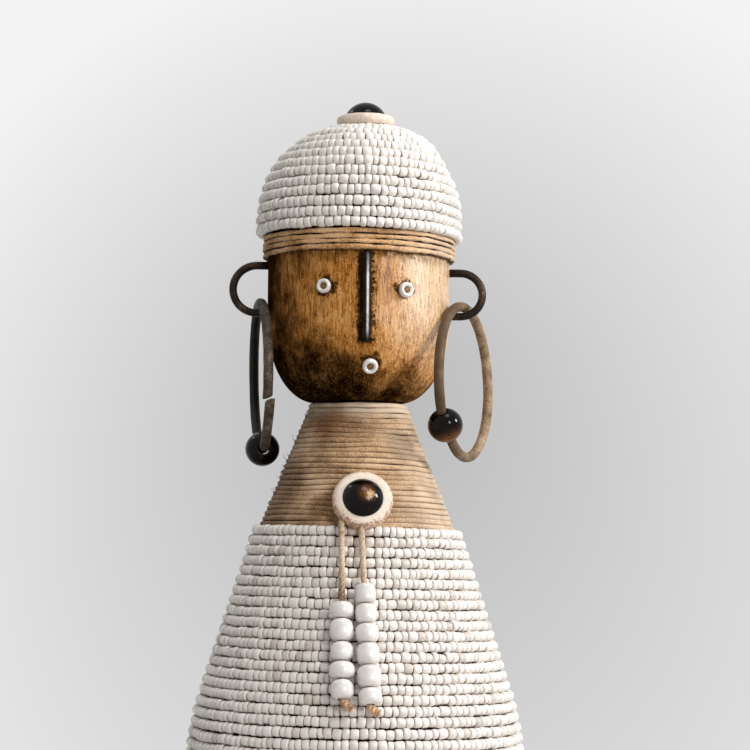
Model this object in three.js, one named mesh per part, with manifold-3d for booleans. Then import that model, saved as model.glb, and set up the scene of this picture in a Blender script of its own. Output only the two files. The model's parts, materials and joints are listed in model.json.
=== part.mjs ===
// A hand-made namji doll: a carved wooden figure wound with twine and with strings of white glass beads.
// Its face has an iron nose and bead eyes, iron loops at its ears carry swinging hoops with a bead each,
// and two strung pendants hang from the ring on its chest.
// Millimetres, +Z up, the face towards -Y and its left ear, as seen, at -X. The origin is under the foot.
import * as THREE from "three";
import { mergeVertices } from "three/addons/utils/BufferGeometryUtils.js";
import Module from "manifold-3d";

// Clearances
const SEAT = 0.3; // between two pieces that touch
const TURN_GAP = 0.5; // between neighbouring turns of a winding
const WELD = 1e-3;

// Carved figure
const FOOT_RADIUS = 60.5;
const FOOT_CHAMFER = 1.5;
const FOOT_HEIGHT = 1.5; // bare wood below the lowest beads
const SKIRT_SIDE_HEIGHT = 31; // top of the upright side
const SKIRT_ROUNDING = 94;
const SKIRT_FLARE = THREE.MathUtils.degToRad(17.6);
const SKIRT_HEIGHT = 125.6;
const NECK_LEDGE = 0.6; // step from the skirt in to the neck
const NECK_HEIGHT = 47.4;
const NECK_TOP_RADIUS = 16.4;
const CHEEK_RISE = 31.5; // from the chin up to the straight side of the head
const HEAD_HEIGHT = 70.4; // from the chin up to where the crown starts to round
const HEAD_RADIUS = 35.3;
const DOME_RISE = 37.8;
const CROWN_FLAT_RADIUS = 16.5;
const FIGURE_SEGMENTS = 32;

// Windings
const SKIRT_BEAD = 3.5;
const SKIRT_STEPS = 18;
const CAP_BEAD = 3.5;
const CAP_STEPS = 16;
const CAP_SIDE = 8.2; // straight side of the beaded cap
const CAP_EYE_RADIUS = 6; // opening left at the top of the cap
const NECK_TWINE = 1.7;
const NECK_STEPS = 12;
const BROW_TWINE = 1.5;
const BROW_STEPS = 16;
const BROW_BAND = 8.1; // height of the band
const TWINE_SIDES = 4;
const LINE_SAMPLES = 160;

// Face
const NOSE_WIRE = 3.3;
const NOSE_LENGTH = 34.8;
const NOSE_BEND = 3;
const NOSE_LEG = 5; // depth of each bent end in the wood
const NOSE_TURN = THREE.MathUtils.degToRad(5.2);
const EYE_WIDTH = 6;
const EYE_THICKNESS = 2.6;
const LEFT_EYE_TURN = THREE.MathUtils.degToRad(-20.4);
const LEFT_EYE_DROP = 14; // below the brow band
const RIGHT_EYE_TURN = THREE.MathUtils.degToRad(29.4);
const RIGHT_EYE_DROP = 15;
const MOUTH_WIDTH = 6.3;
const MOUTH_TURN = THREE.MathUtils.degToRad(8.3);
const MOUTH_DROP = 8.2; // below the end of the nose
const PEG_WIDTH = 1.7;
const PEG_DEPTH = 5;

// Ear loops and hoops
const LOOP_WIRE = 3.2;
const LOOP_DEPTH = 6; // depth of each leg in the wood
const LOOP_REACH = 4.4; // straight leg outside the wood
const HOOP_WIRE = 3.6;
const HOOP_SPLIT = 1.5; // opening between the wire's ends
const HOOP_LEAN = THREE.MathUtils.degToRad(1.6); // both hang a little to +X
const HOOP_STEPS = 28;
const WIRE_SIDES = 6;
const HOOP_BEAD_WIDTH = 13.4;
const HOOP_BEAD_LENGTH = 12.6;
const LEFT_LOOP = { drop: 2.4, radius: 9.2 }; // the upper leg's drop below the brow band
const RIGHT_LOOP = { drop: 4.9, radius: 8.4 };
const LEFT_HOOP = {
  radius: 28.4,
  offset: 3.1, // middle of the wire from the wood, where it hangs
  turn: THREE.MathUtils.degToRad(8.5),
  split: THREE.MathUtils.degToRad(68),
  bead: 0,
};
const RIGHT_HOOP = {
  radius: 29.3,
  offset: 5.1,
  turn: THREE.MathUtils.degToRad(21),
  split: THREE.MathUtils.degToRad(52),
  bead: THREE.MathUtils.degToRad(52),
};

// Crown and chest ornaments
const RING_WIDTH = 22.4;
const RING_THICKNESS = 5.5;
const RING_HOLE = 8.8;
const BUTTON_WIDTH = 15;
const BUTTON_RISE = 4.4;
const CROWN_SHIFT = 2.2;
const CHEST_RISE = 7.7; // middle of the ring's back above the skirt
const CHEST_STANDOFF = 1; // back of the ring from the twine, at its middle
const CHEST_LEAN = THREE.MathUtils.degToRad(22);
const CHEST_TURN = THREE.MathUtils.degToRad(3.5);

// Pendants: each bead as [width, length] from the top down
const CORD = 2.4;
const CORD_ROOT = 4; // upper end of the cord, which turns under the ring
const CORD_SIDES = 8;
const KNOT_WIDTH = 5.4;
const KNOT_LENGTH = 4.8;
const LEFT_PENDANT = {
  across: -5.4, // from the middle of the figure
  lean: THREE.MathUtils.degToRad(1.2),
  free: 28.2, // bare cord between the ring and the beads
  beads: [[9.2, 6.2], [8.6, 8.2], [8.2, 7], [9.2, 6.4], [8.5, 7.2]],
};
const RIGHT_PENDANT = {
  across: 2,
  lean: THREE.MathUtils.degToRad(3.2),
  free: 19,
  beads: [[7.8, 7.2], [8.1, 7.2], [8.8, 7], [8.5, 8], [8.6, 8], [8.8, 6.2]],
};

// Finishes
const WOOD = { color: 0x6b452b, roughness: 0.5 };
const TWINE = { color: 0xa38460, roughness: 0.95 };
const BAND_CORD = { color: 0x9c8467, roughness: 0.95 };
const SEED_BEADS = { color: 0xe9e6df, roughness: 0.35 };
const GLASS = { color: 0xf1efea, roughness: 0.15 };
const BONE = { color: 0xd9c9a4, roughness: 0.5 };
const HORN = { color: 0x120d0b, roughness: 0.12 };
const IRON = { color: 0x2b2320, roughness: 0.6, metalness: 0.8 };

const wasm = await Module();
wasm.setup();

const figure = new THREE.Group();
const polar = (radius, turn, height) =>
  new THREE.Vector3(radius * Math.sin(turn), -radius * Math.cos(turn), height);

// Joins the shared vertices of a closed shape and turns its faces outwards.
function closed(geometry) {
  const bare = geometry.clone();
  bare.deleteAttribute("normal");
  bare.deleteAttribute("uv");
  const merged = mergeVertices(bare, WELD);
  const index = merged.index.array;
  const [a, b, c] = [0, 1, 2].map(() => new THREE.Vector3());
  let volume = 0;
  for (let i = 0; i < index.length; i += 3) {
    a.fromBufferAttribute(merged.attributes.position, index[i]);
    b.fromBufferAttribute(merged.attributes.position, index[i + 1]);
    c.fromBufferAttribute(merged.attributes.position, index[i + 2]);
    volume += a.dot(b.cross(c));
  }
  if (volume < 0) {
    for (let i = 0; i < index.length; i += 3) {
      [index[i + 1], index[i + 2]] = [index[i + 2], index[i + 1]];
    }
  }
  merged.computeVertexNormals();
  return merged;
}

function solidOf(geometry) {
  const shape = closed(geometry);
  return new wasm.Manifold(
    new wasm.Mesh({
      numProp: 3,
      vertProperties: new Float32Array(shape.attributes.position.array),
      triVerts: new Uint32Array(shape.index.array),
    }),
  );
}

function cut(geometry, tools) {
  const left = tools.reduce((solid, tool) => solid.subtract(solidOf(tool)), solidOf(geometry));
  const mesh = left.getMesh();
  const result = new THREE.BufferGeometry();
  result.setAttribute("position", new THREE.BufferAttribute(mesh.vertProperties, 3));
  result.setIndex(new THREE.BufferAttribute(mesh.triVerts, 1));
  return result;
}

function addPiece(parent, name, geometry, finish) {
  const mesh = new THREE.Mesh(closed(geometry), new THREE.MeshStandardMaterial(finish));
  mesh.name = name;
  parent.add(mesh);
}

function addGroup(parent, place = [0, 0, 0]) {
  const group = new THREE.Group();
  group.position.set(...place);
  parent.add(group);
  return group;
}

// A turned shape whose axis is +Z.
const turned = (profile, segments) =>
  new THREE.LatheGeometry(profile, segments).rotateX(Math.PI / 2);

// A turned shape whose axis points out of the face, along -Y.
const turnedOut = (profile, segments) => new THREE.LatheGeometry(profile, segments).rotateX(Math.PI);

function wire(path, width, steps, sides) {
  const section = new THREE.Shape().absarc(0, 0, width / 2, 0, 2 * Math.PI, false);
  return new THREE.ExtrudeGeometry(section, {
    steps,
    curveSegments: sides / 2,
    bevelEnabled: false,
    extrudePath: path,
  });
}

// A hole drilled inwards along +Y from the front, at the given depth below the given radius.
const drill = (width, radius, depth, turn, height, lean = 0) =>
  new THREE.CylinderGeometry(width / 2, width / 2, depth * 2, 10)
    .rotateX(lean)
    .translate(0, -radius, 0)
    .rotateZ(turn)
    .translate(0, 0, height);

// An arc about a middle point, from one angle to another: angle 0 points along u, a quarter turn along v.
class Arc extends THREE.Curve {
  constructor(middle, radius, u, v, from, to) {
    super();
    Object.assign(this, { middle, radius, u, v, from, to });
  }

  getPoint(t, target = new THREE.Vector3()) {
    const angle = this.from + (this.to - this.from) * t;
    return target
      .copy(this.middle)
      .addScaledVector(this.u, this.radius * Math.cos(angle))
      .addScaledVector(this.v, this.radius * Math.sin(angle));
  }
}

const FRONT = new THREE.Vector3(0, -1, 0);
const UP = new THREE.Vector3(0, 0, 1);
const DOWN = new THREE.Vector3(0, 0, -1);

// Heights that follow from the sizes
const chinHeight = SKIRT_HEIGHT + NECK_HEIGHT;
const cheekHeight = chinHeight + CHEEK_RISE;
const domeHeight = chinHeight + HEAD_HEIGHT;
const capRimHeight = domeHeight - CAP_SIDE;
const browLap = BROW_TWINE + TURN_GAP - SEAT; // the band's last turn ends beside the cap's first one
const browHeight = capRimHeight + browLap - BROW_BAND;
const chestHeight = SKIRT_HEIGHT + CHEST_RISE;

// Outlines of the carved figure, as radius and height
const flareRadius = FOOT_RADIUS - SKIRT_ROUNDING * (1 - Math.cos(SKIRT_FLARE));
const flareHeight = SKIRT_SIDE_HEIGHT + SKIRT_ROUNDING * Math.sin(SKIRT_FLARE);
const skirtTopRadius = flareRadius - (SKIRT_HEIGHT - flareHeight) * Math.tan(SKIRT_FLARE);
const neckBaseRadius = skirtTopRadius - NECK_LEDGE;
const neckSlope = (neckBaseRadius - NECK_TOP_RADIUS) / NECK_HEIGHT;
const neckRadius = (height) => NECK_TOP_RADIUS + (chinHeight - height) * neckSlope;
const crownHeight = domeHeight + DOME_RISE * Math.sqrt(1 - (CROWN_FLAT_RADIUS / HEAD_RADIUS) ** 2);

const skirtFlank = new THREE.Path()
  .moveTo(FOOT_RADIUS, FOOT_HEIGHT)
  .lineTo(FOOT_RADIUS, SKIRT_SIDE_HEIGHT)
  .absarc(FOOT_RADIUS - SKIRT_ROUNDING, SKIRT_SIDE_HEIGHT, SKIRT_ROUNDING, 0, SKIRT_FLARE, false)
  .lineTo(skirtTopRadius, SKIRT_HEIGHT);

const crownAngle = Math.acos(CROWN_FLAT_RADIUS / HEAD_RADIUS);
const dome = (from, to) =>
  new THREE.Path()
    .moveTo(HEAD_RADIUS, from)
    .lineTo(HEAD_RADIUS, domeHeight)
    .absellipse(0, domeHeight, HEAD_RADIUS, DOME_RISE, 0, crownAngle, false)
    .lineTo(to, crownHeight);

const jaw = new THREE.Path().absellipse(
  NECK_TOP_RADIUS,
  cheekHeight,
  HEAD_RADIUS - NECK_TOP_RADIUS,
  CHEEK_RISE,
  -Math.PI / 2,
  0,
  false,
);

const figureProfile = [
  new THREE.Vector2(0, 0),
  new THREE.Vector2(FOOT_RADIUS - FOOT_CHAMFER, 0),
  new THREE.Vector2(FOOT_RADIUS, FOOT_CHAMFER),
  ...skirtFlank.getPoints(2).slice(1),
  new THREE.Vector2(neckBaseRadius, SKIRT_HEIGHT),
  ...jaw.getPoints(4),
  ...dome(domeHeight, 0).getPoints(4).slice(2),
];

// The face: places of the nose's bent ends and of the bead eyes and mouth
const noseTop = browHeight - SEAT - NOSE_WIRE / 2;
const noseBottom = noseTop - NOSE_LENGTH + NOSE_WIRE;
const mouthHeight = noseBottom - NOSE_WIRE / 2 - MOUTH_DROP;
const faceBeads = [
  { name: "left_eye", width: EYE_WIDTH, turn: LEFT_EYE_TURN, height: browHeight - LEFT_EYE_DROP },
  { name: "right_eye", width: EYE_WIDTH, turn: RIGHT_EYE_TURN, height: browHeight - RIGHT_EYE_DROP },
  { name: "mouth", width: MOUTH_WIDTH, turn: MOUTH_TURN, height: mouthHeight },
];

// The head's surface at a height on the jaw or above it: its radius, and how far it faces down there.
function faceAt(height) {
  const jawWidth = HEAD_RADIUS - NECK_TOP_RADIUS;
  const angle = Math.asin(Math.max(0, cheekHeight - height) / CHEEK_RISE);
  return {
    radius: NECK_TOP_RADIUS + jawWidth * Math.cos(angle),
    lean: Math.atan2(Math.sin(angle) / CHEEK_RISE, Math.cos(angle) / jawWidth),
  };
}

const ears = [
  { side: "left", sign: -1, loop: LEFT_LOOP, hoop: LEFT_HOOP },
  { side: "right", sign: 1, loop: RIGHT_LOOP, hoop: RIGHT_HOOP },
];

function carvedFigure() {
  const noseHole = NOSE_WIRE + 2 * SEAT;
  const legHole = LOOP_WIRE + 2 * SEAT;
  const pegHole = PEG_WIDTH + 2 * SEAT;
  const holes = [noseTop, noseBottom].map((height) =>
    drill(noseHole, HEAD_RADIUS, NOSE_LEG + SEAT, NOSE_TURN, height),
  );
  for (const bead of faceBeads) {
    const { radius, lean } = faceAt(bead.height);
    holes.push(drill(pegHole, radius, PEG_DEPTH + SEAT, bead.turn, bead.height, lean));
  }
  for (const { sign, loop } of ears) {
    const top = browHeight - loop.drop;
    for (const height of [top, top - 2 * loop.radius]) {
      holes.push(drill(legHole, HEAD_RADIUS, LOOP_DEPTH + SEAT, (sign * Math.PI) / 2, height));
    }
  }
  return cut(turned(figureProfile, FIGURE_SEGMENTS), holes);
}

// The line along which the middle of a wound cord lies on an outline of the wood. The cord's straight
// steps come closest to the wood at their middles, where the seat's clearance is kept.
function woundLine(outline, width, steps) {
  const points = [];
  for (let i = 0; i <= LINE_SAMPLES; i++) {
    const point = outline.getPointAt(i / LINE_SAMPLES);
    const along = outline.getTangentAt(i / LINE_SAMPLES);
    const radius = (point.x + along.y * SEAT) / Math.cos(Math.PI / steps) + (along.y * width) / 2;
    points.push(new THREE.Vector2(radius, point.y - along.x * (SEAT + width / 2)));
  }
  return new THREE.Path().setFromPoints(points);
}

// Rings of points along a winding, between two of its turns, which start and end at the back.
function windingRings(line, width, steps, pitch, from, to) {
  const length = line.getLength();
  const count = Math.ceil((to - from) * steps);
  const rings = [];
  for (let i = 0; i <= count; i++) {
    const turn = from + ((to - from) * i) / count;
    const place = (width / 2 + turn * pitch) / length;
    const middle = line.getPointAt(place);
    const along = line.getTangentAt(place);
    const ring = [];
    for (let k = 0; k < TWINE_SIDES; k++) {
      const angle = (2 * Math.PI * k) / TWINE_SIDES;
      const out = (Math.cos(angle) * width) / 2;
      const up = (Math.sin(angle) * width) / 2;
      const radius = middle.x + along.y * out + along.x * up;
      const height = middle.y - along.x * out + along.y * up;
      ring.push(polar(radius, Math.PI * (1 - 2 * turn), height));
    }
    rings.push(ring);
  }
  return rings;
}

function tubeOf(rings) {
  const sides = rings[0].length;
  const index = [];
  for (let i = 0; i + 1 < rings.length; i++) {
    for (let k = 0; k < sides; k++) {
      const [a, b] = [i * sides + k, i * sides + ((k + 1) % sides)];
      index.push(a, b, b + sides, a, b + sides, a + sides);
    }
  }
  const last = (rings.length - 1) * sides;
  for (let k = 1; k + 1 < sides; k++) {
    index.push(0, k + 1, k, last, last + k, last + k + 1);
  }
  const geometry = new THREE.BufferGeometry().setFromPoints(rings.flat());
  geometry.setIndex(index);
  return geometry;
}

// The least distance between points of neighbouring turns.
function leastGap(rings, steps) {
  let least = Infinity;
  for (let i = 0; i + steps - 1 < rings.length; i++) {
    for (const next of rings.slice(i + steps - 1, i + steps + 2)) {
      for (const point of rings[i]) {
        least = Math.min(least, ...next.map((other) => point.distanceTo(other)));
      }
    }
  }
  return least;
}

function addWinding(name, rings, steps, finish) {
  addPiece(figure, name, tubeOf(rings), finish);
  console.log(`${name}: least gap between turns ${leastGap(rings, steps).toFixed(2)} mm`);
}

// A cord wound once over an outline from end to end.
function windOver(name, outline, width, steps, finish) {
  const line = woundLine(outline, width, steps);
  const span = line.getLength() - width;
  const turns = Math.floor(span / (width + TURN_GAP));
  const opening = TURN_GAP / (2 * Math.PI * line.getPointAt(1).x);
  addWinding(name, windingRings(line, width, steps, span / turns, 0, turns - opening), steps, finish);
}

// The skirt's two bead strings: the upper one goes on where the lower one ends.
function windSkirt() {
  const line = woundLine(skirtFlank, SKIRT_BEAD, SKIRT_STEPS);
  const span = line.getLength() - SKIRT_BEAD;
  const turns = Math.floor(span / (SKIRT_BEAD + TURN_GAP));
  const pitch = span / turns;
  const half = Math.floor(turns / 2);
  const opening = TURN_GAP / (2 * Math.PI * line.getPointAt(half / turns).x);
  const strings = { lower_skirt_beads: [0, half], upper_skirt_beads: [half + opening, turns] };
  for (const [name, [from, to]] of Object.entries(strings)) {
    const rings = windingRings(line, SKIRT_BEAD, SKIRT_STEPS, pitch, from, to);
    addWinding(name, rings, SKIRT_STEPS, SEED_BEADS);
  }
}

function addWindings() {
  windSkirt();
  const neckTop = chinHeight - NECK_TWINE;
  const neck = new THREE.Path().moveTo(neckBaseRadius, SKIRT_HEIGHT).lineTo(neckRadius(neckTop), neckTop);
  windOver("neck_twine", neck, NECK_TWINE, NECK_STEPS, TWINE);
  const brow = new THREE.Path().moveTo(HEAD_RADIUS, browHeight).lineTo(HEAD_RADIUS, browHeight + BROW_BAND);
  windOver("brow_band", brow, BROW_TWINE, BROW_STEPS, BAND_CORD);
  windOver("cap_beads", dome(capRimHeight, CAP_EYE_RADIUS), CAP_BEAD, CAP_STEPS, SEED_BEADS);
}

// The iron nose: a rod along the face whose two ends are bent into the wood.
function addNose() {
  const out = HEAD_RADIUS + SEAT + NOSE_WIRE / 2;
  const turnIn = out - NOSE_BEND;
  const inside = HEAD_RADIUS - NOSE_LEG;
  const at = (radius, height) => new THREE.Vector3(0, -radius, height);
  const bend = (height, u, v) => new Arc(at(turnIn, height), NOSE_BEND, u, v, 0, Math.PI / 2);
  const path = new THREE.CurvePath();
  path.add(new THREE.LineCurve3(at(inside, noseTop), at(turnIn, noseTop)));
  path.add(bend(noseTop - NOSE_BEND, UP, FRONT));
  path.add(new THREE.LineCurve3(at(out, noseTop - NOSE_BEND), at(out, noseBottom + NOSE_BEND)));
  path.add(bend(noseBottom + NOSE_BEND, FRONT, DOWN));
  path.add(new THREE.LineCurve3(at(turnIn, noseBottom), at(inside, noseBottom)));
  const place = addGroup(figure);
  place.rotation.z = NOSE_TURN;
  addPiece(place, "nose_pin", wire(path, NOSE_WIRE, 26, WIRE_SIDES), IRON);
}

// An eye or mouth: a flat bead on a wooden peg driven into the face.
function addFaceBead({ name, width, turn, height }) {
  const { radius, lean } = faceAt(height);
  const hole = PEG_WIDTH / 2 + SEAT;
  const half = EYE_THICKNESS / 2;
  const wall = (width / 2 - hole) / 2;
  const section = new THREE.Path().absellipse(hole + wall, half, wall, half, 0, 2 * Math.PI, false);
  const turnGroup = addGroup(figure);
  turnGroup.rotation.z = turn;
  const seat = addGroup(turnGroup, [0, -radius, height]);
  seat.rotation.x = lean;
  const bead = addGroup(seat, [0, -SEAT, 0]);
  addPiece(bead, `${name}_bead`, turnedOut(section.getPoints(3), 14), GLASS);
  const peg = [
    [0, -PEG_DEPTH],
    [PEG_WIDTH / 2, -PEG_DEPTH],
    [PEG_WIDTH / 2, half],
    [PEG_WIDTH / 4, half + SEAT],
    [0, half + SEAT],
  ].map(([reach, out]) => new THREE.Vector2(reach, out));
  addPiece(seat, `${name}_peg`, turnedOut(peg, 8), WOOD);
}

// An ear loop with its two legs in the wood, the hoop that hangs on it, and the hoop's bead.
function addEar({ side, sign, loop, hoop }) {
  const across = (distance) => new THREE.Vector3(sign * distance, 0, 0);
  const bow = HEAD_RADIUS + LOOP_REACH;
  const middle = browHeight - loop.drop - loop.radius;
  const leg = (step) => across(0).setZ(middle + step * loop.radius);
  const inner = across(HEAD_RADIUS - LOOP_DEPTH);
  const outer = across(bow);
  const path = new THREE.CurvePath();
  path.add(new THREE.LineCurve3(leg(1).add(inner), leg(1).add(outer)));
  path.add(new Arc(across(bow).setZ(middle), loop.radius, UP, across(1), 0, Math.PI));
  path.add(new THREE.LineCurve3(leg(-1).add(outer), leg(-1).add(inner)));
  addPiece(figure, `${side}_ear_loop`, wire(path, LOOP_WIRE, 18, WIRE_SIDES), IRON);

  const rest = middle - loop.radius + (LOOP_WIRE + HOOP_WIRE) / 2 + SEAT;
  const hang = addGroup(figure, [sign * (HEAD_RADIUS + hoop.offset), 0, rest]);
  hang.rotation.y = -HOOP_LEAN;
  const place = addGroup(hang, [0, 0, -hoop.radius]);
  place.rotation.z = -sign * hoop.turn;
  const opening = HOOP_SPLIT / hoop.radius / 2;
  const ends = [hoop.split + opening, hoop.split + 2 * Math.PI - opening];
  const ring = new Arc(new THREE.Vector3(), hoop.radius, DOWN, FRONT, ...ends);
  addPiece(place, `${side}_hoop`, wire(ring, HOOP_WIRE, HOOP_STEPS, WIRE_SIDES), IRON);

  const bead = addGroup(place);
  bead.rotation.x = -hoop.bead;
  addPiece(bead, `${side}_hoop_bead`, hoopBead(hoop.radius), HORN);
}

// A round bead with a straight bore, wide enough for the curved wire.
function hoopBead(radius) {
  const half = HOOP_BEAD_LENGTH / 2;
  const sag = radius - Math.sqrt(radius ** 2 - half ** 2);
  const bore = (HOOP_WIRE + sag) / 2 + SEAT;
  const mouth = Math.asin((2 * bore) / HOOP_BEAD_WIDTH);
  const profile = new THREE.Path().absellipse(
    0,
    0,
    HOOP_BEAD_WIDTH / 2,
    half / Math.cos(mouth),
    mouth - Math.PI / 2,
    Math.PI / 2 - mouth,
    false,
  );
  const points = profile.getPoints(5);
  return turnedOut([...points, points[0]], 14).translate(0, 0, sag / 2 - radius);
}

// A bone ring and the polished button whose boss sits in it. The ring's back is at 0 on the given axis.
function addOrnament(parent, name, axis) {
  const hole = RING_HOLE / 2;
  const wall = (RING_WIDTH / 2 - hole) / 2;
  const half = RING_THICKNESS / 2;
  const section = new THREE.Path().absellipse(hole + wall, half, wall, half, 0, 2 * Math.PI, false);
  addPiece(parent, `${name}_ring`, axis(section.getPoints(4), 20), BONE);

  const rim = BUTTON_WIDTH / 2;
  const seat = RING_THICKNESS + SEAT;
  const ball = (rim ** 2 + BUTTON_RISE ** 2) / (2 * BUTTON_RISE);
  const crown = new THREE.Path().absarc(
    0,
    seat + BUTTON_RISE - ball,
    ball,
    Math.acos(rim / ball),
    Math.PI / 2,
    false,
  );
  const boss = hole - SEAT;
  const profile = [
    new THREE.Vector2(0, half),
    new THREE.Vector2(boss, half),
    new THREE.Vector2(boss, seat),
    ...crown.getPoints(2),
  ];
  addPiece(parent, `${name}_button`, axis(profile, 16), HORN);
}

// A pendant: the cord's root under the ring, the hanging cord, its beads and the knot that holds them.
// Inside the group the cord hangs along -Z, with the skirt behind it.
function addPendant(side, { across, lean, free, beads }, top) {
  const tilt = addGroup(figure, [across, -top.radius, top.height]);
  tilt.rotation.x = -top.slope;
  const hang = addGroup(tilt);
  hang.rotation.y = -lean;
  const half = CORD / 2;
  const rounded = new THREE.Path().absarc(0, -half, half, 0, Math.PI / 2, false);
  const foot = [0, half].map((reach) => new THREE.Vector2(reach, -CORD_ROOT));
  const root = [...foot, ...rounded.getPoints(2)];
  addPiece(hang, `${side}_cord_root`, turned(root, CORD_SIDES), TWINE);

  let place = -CORD_ROOT - free;
  beads.forEach(([width, length], i) => {
    const group = addGroup(hang, [0, 0, place - length / 2]);
    addPiece(group, `${side}_pendant_bead_${i + 1}`, pendantBead(width, length), GLASS);
    place -= length + SEAT;
  });
  const cordTop = -CORD_ROOT - SEAT;
  const cordEnd = place - SEAT;
  const path = new THREE.LineCurve3(new THREE.Vector3(0, 0, cordTop), new THREE.Vector3(0, 0, cordEnd));
  const steps = Math.ceil((cordTop - cordEnd) / (3 * CORD));
  addPiece(hang, `${side}_pendant_cord`, wire(path, CORD, steps, CORD_SIDES), TWINE);
  const knot = addGroup(hang, [0, 0, cordEnd - SEAT - KNOT_LENGTH]);
  addPiece(knot, `${side}_knot`, knotShape(), TWINE);
}

function pendantBead(width, length) {
  const bore = CORD / 2 + SEAT;
  const edge = length / 3;
  const profile = new THREE.Path()
    .moveTo(bore, -length / 2)
    .lineTo(width / 2 - edge, -length / 2)
    .quadraticCurveTo(width / 2, -length / 2, width / 2, 0)
    .quadraticCurveTo(width / 2, length / 2, width / 2 - edge, length / 2)
    .lineTo(bore, length / 2)
    .lineTo(bore, -length / 2);
  return turned(profile.getPoints(2), 10);
}

// Two bulging wraps of the cord, the upper one wider.
function knotShape() {
  const waist = 0.42 * KNOT_LENGTH;
  const profile = new THREE.SplineCurve(
    [
      [0, 0],
      [0.3 * KNOT_WIDTH, 0],
      [0.42 * KNOT_WIDTH, waist / 2],
      [0.36 * KNOT_WIDTH, waist],
      [0.5 * KNOT_WIDTH, (waist + KNOT_LENGTH) / 2],
      [0.3 * KNOT_WIDTH, KNOT_LENGTH],
      [0, KNOT_LENGTH],
    ].map(([radius, height]) => new THREE.Vector2(radius, height)),
  );
  const points = profile.getPoints(12).map((point) => point.setX(Math.max(0, point.x)));
  points[0].x = 0;
  points.at(-1).x = 0;
  return turned(points, 8);
}

addPiece(figure, "carved_figure", carvedFigure(), WOOD);
addWindings();
addNose();
faceBeads.forEach(addFaceBead);
ears.forEach(addEar);

// The crown ring lies on the cap's top turns, a little off the middle.
const crown = addGroup(figure, [CROWN_SHIFT, 0, crownHeight + CAP_BEAD + 2 * SEAT]);
addOrnament(crown, "crown", turned);

// Radius of the skirt's outer face, straight down from a height on its flared side.
function skirtSurface(height) {
  const woodHeight = height - Math.sin(SKIRT_FLARE) * (SEAT + SKIRT_BEAD);
  const wood = skirtTopRadius + (SKIRT_HEIGHT - woodHeight) * Math.tan(SKIRT_FLARE);
  const seat = (wood + Math.cos(SKIRT_FLARE) * SEAT) / Math.cos(Math.PI / SKIRT_STEPS);
  return seat + Math.cos(SKIRT_FLARE) * SKIRT_BEAD;
}

// The chest ring leans back on the neck, clear of its twine at the middle.
const neckSurface = neckRadius(chestHeight) / Math.cos(Math.PI / NECK_STEPS) + SEAT + NECK_TWINE;
const chestRadius = neckSurface + CHEST_STANDOFF;
const chestTurn = addGroup(figure);
chestTurn.rotation.z = CHEST_TURN;
const chest = addGroup(chestTurn, [0, -chestRadius, chestHeight]);
chest.rotation.x = -CHEST_LEAN;
addOrnament(chest, "chest", turnedOut);

// Each cord starts against the lower edge of the chest ring, and its beads lie along the skirt's beads.
const ringOut = RING_THICKNESS / 2;
const ringMiddle = (chestRadius + ringOut) * Math.sin(CHEST_TURN);
const skirtSlope = Math.atan(Math.tan(SKIRT_FLARE) / Math.cos(Math.PI / SKIRT_STEPS));
function cordTop({ across, lean, free, beads }) {
  const down = Math.sqrt((RING_WIDTH / 2) ** 2 - (across - ringMiddle) ** 2);
  const edge = chestHeight + ringOut * Math.sin(CHEST_LEAN) - down * Math.cos(CHEST_LEAN);
  const height = edge + CORD / 3;
  const widest = Math.max(...beads.map(([width]) => width));
  const strung = beads.reduce((sum, [, length]) => sum + length, CORD_ROOT + free);
  const reach = [CORD_ROOT + free, strung].map((down) => Math.abs(across + down * Math.sin(lean)));
  const beside = Math.min(...reach) * Math.sin(Math.PI / SKIRT_STEPS); // the skirt falls back on both sides
  return {
    radius: skirtSurface(height) + (widest / 2 + SEAT) / Math.cos(skirtSlope) - beside,
    height,
    slope: skirtSlope,
  };
}
addPendant("left", LEFT_PENDANT, cordTop(LEFT_PENDANT));
addPendant("right", RIGHT_PENDANT, cordTop(RIGHT_PENDANT));

export default figure;
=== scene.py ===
"""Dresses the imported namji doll: bead work, twine, carved wood, iron, bone and horn, with its camera and light."""

import json
import logging
import math
import random
from collections.abc import Iterable, Sequence
from dataclasses import dataclass
from enum import Enum

import bmesh
import bpy
from mathutils import Matrix, Vector, noise


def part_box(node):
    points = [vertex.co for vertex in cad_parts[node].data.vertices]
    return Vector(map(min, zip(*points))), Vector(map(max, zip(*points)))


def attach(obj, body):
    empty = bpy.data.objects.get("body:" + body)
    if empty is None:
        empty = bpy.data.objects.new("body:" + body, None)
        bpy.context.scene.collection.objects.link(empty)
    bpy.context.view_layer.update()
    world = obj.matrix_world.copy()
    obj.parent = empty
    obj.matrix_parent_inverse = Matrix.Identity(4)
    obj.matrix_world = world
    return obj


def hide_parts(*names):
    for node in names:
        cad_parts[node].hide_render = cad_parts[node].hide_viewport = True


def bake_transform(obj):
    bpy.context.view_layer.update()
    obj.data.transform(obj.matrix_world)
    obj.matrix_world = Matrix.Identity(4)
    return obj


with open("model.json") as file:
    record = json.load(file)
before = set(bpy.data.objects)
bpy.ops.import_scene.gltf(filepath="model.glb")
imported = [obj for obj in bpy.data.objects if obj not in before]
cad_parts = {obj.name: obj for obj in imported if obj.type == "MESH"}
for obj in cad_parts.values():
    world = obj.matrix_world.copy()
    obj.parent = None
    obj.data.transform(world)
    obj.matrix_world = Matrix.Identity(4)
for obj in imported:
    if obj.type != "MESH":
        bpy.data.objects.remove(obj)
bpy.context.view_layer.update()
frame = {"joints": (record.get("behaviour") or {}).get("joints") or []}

LOG = logging.getLogger("namji_doll")
MM = 0.001
QUARTER = math.pi / 2
FULL = 2 * math.pi
ORIGIN = (0.0, 0.0, 0.0)
UP = Vector((0.0, 0.0, 1.0))

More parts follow.
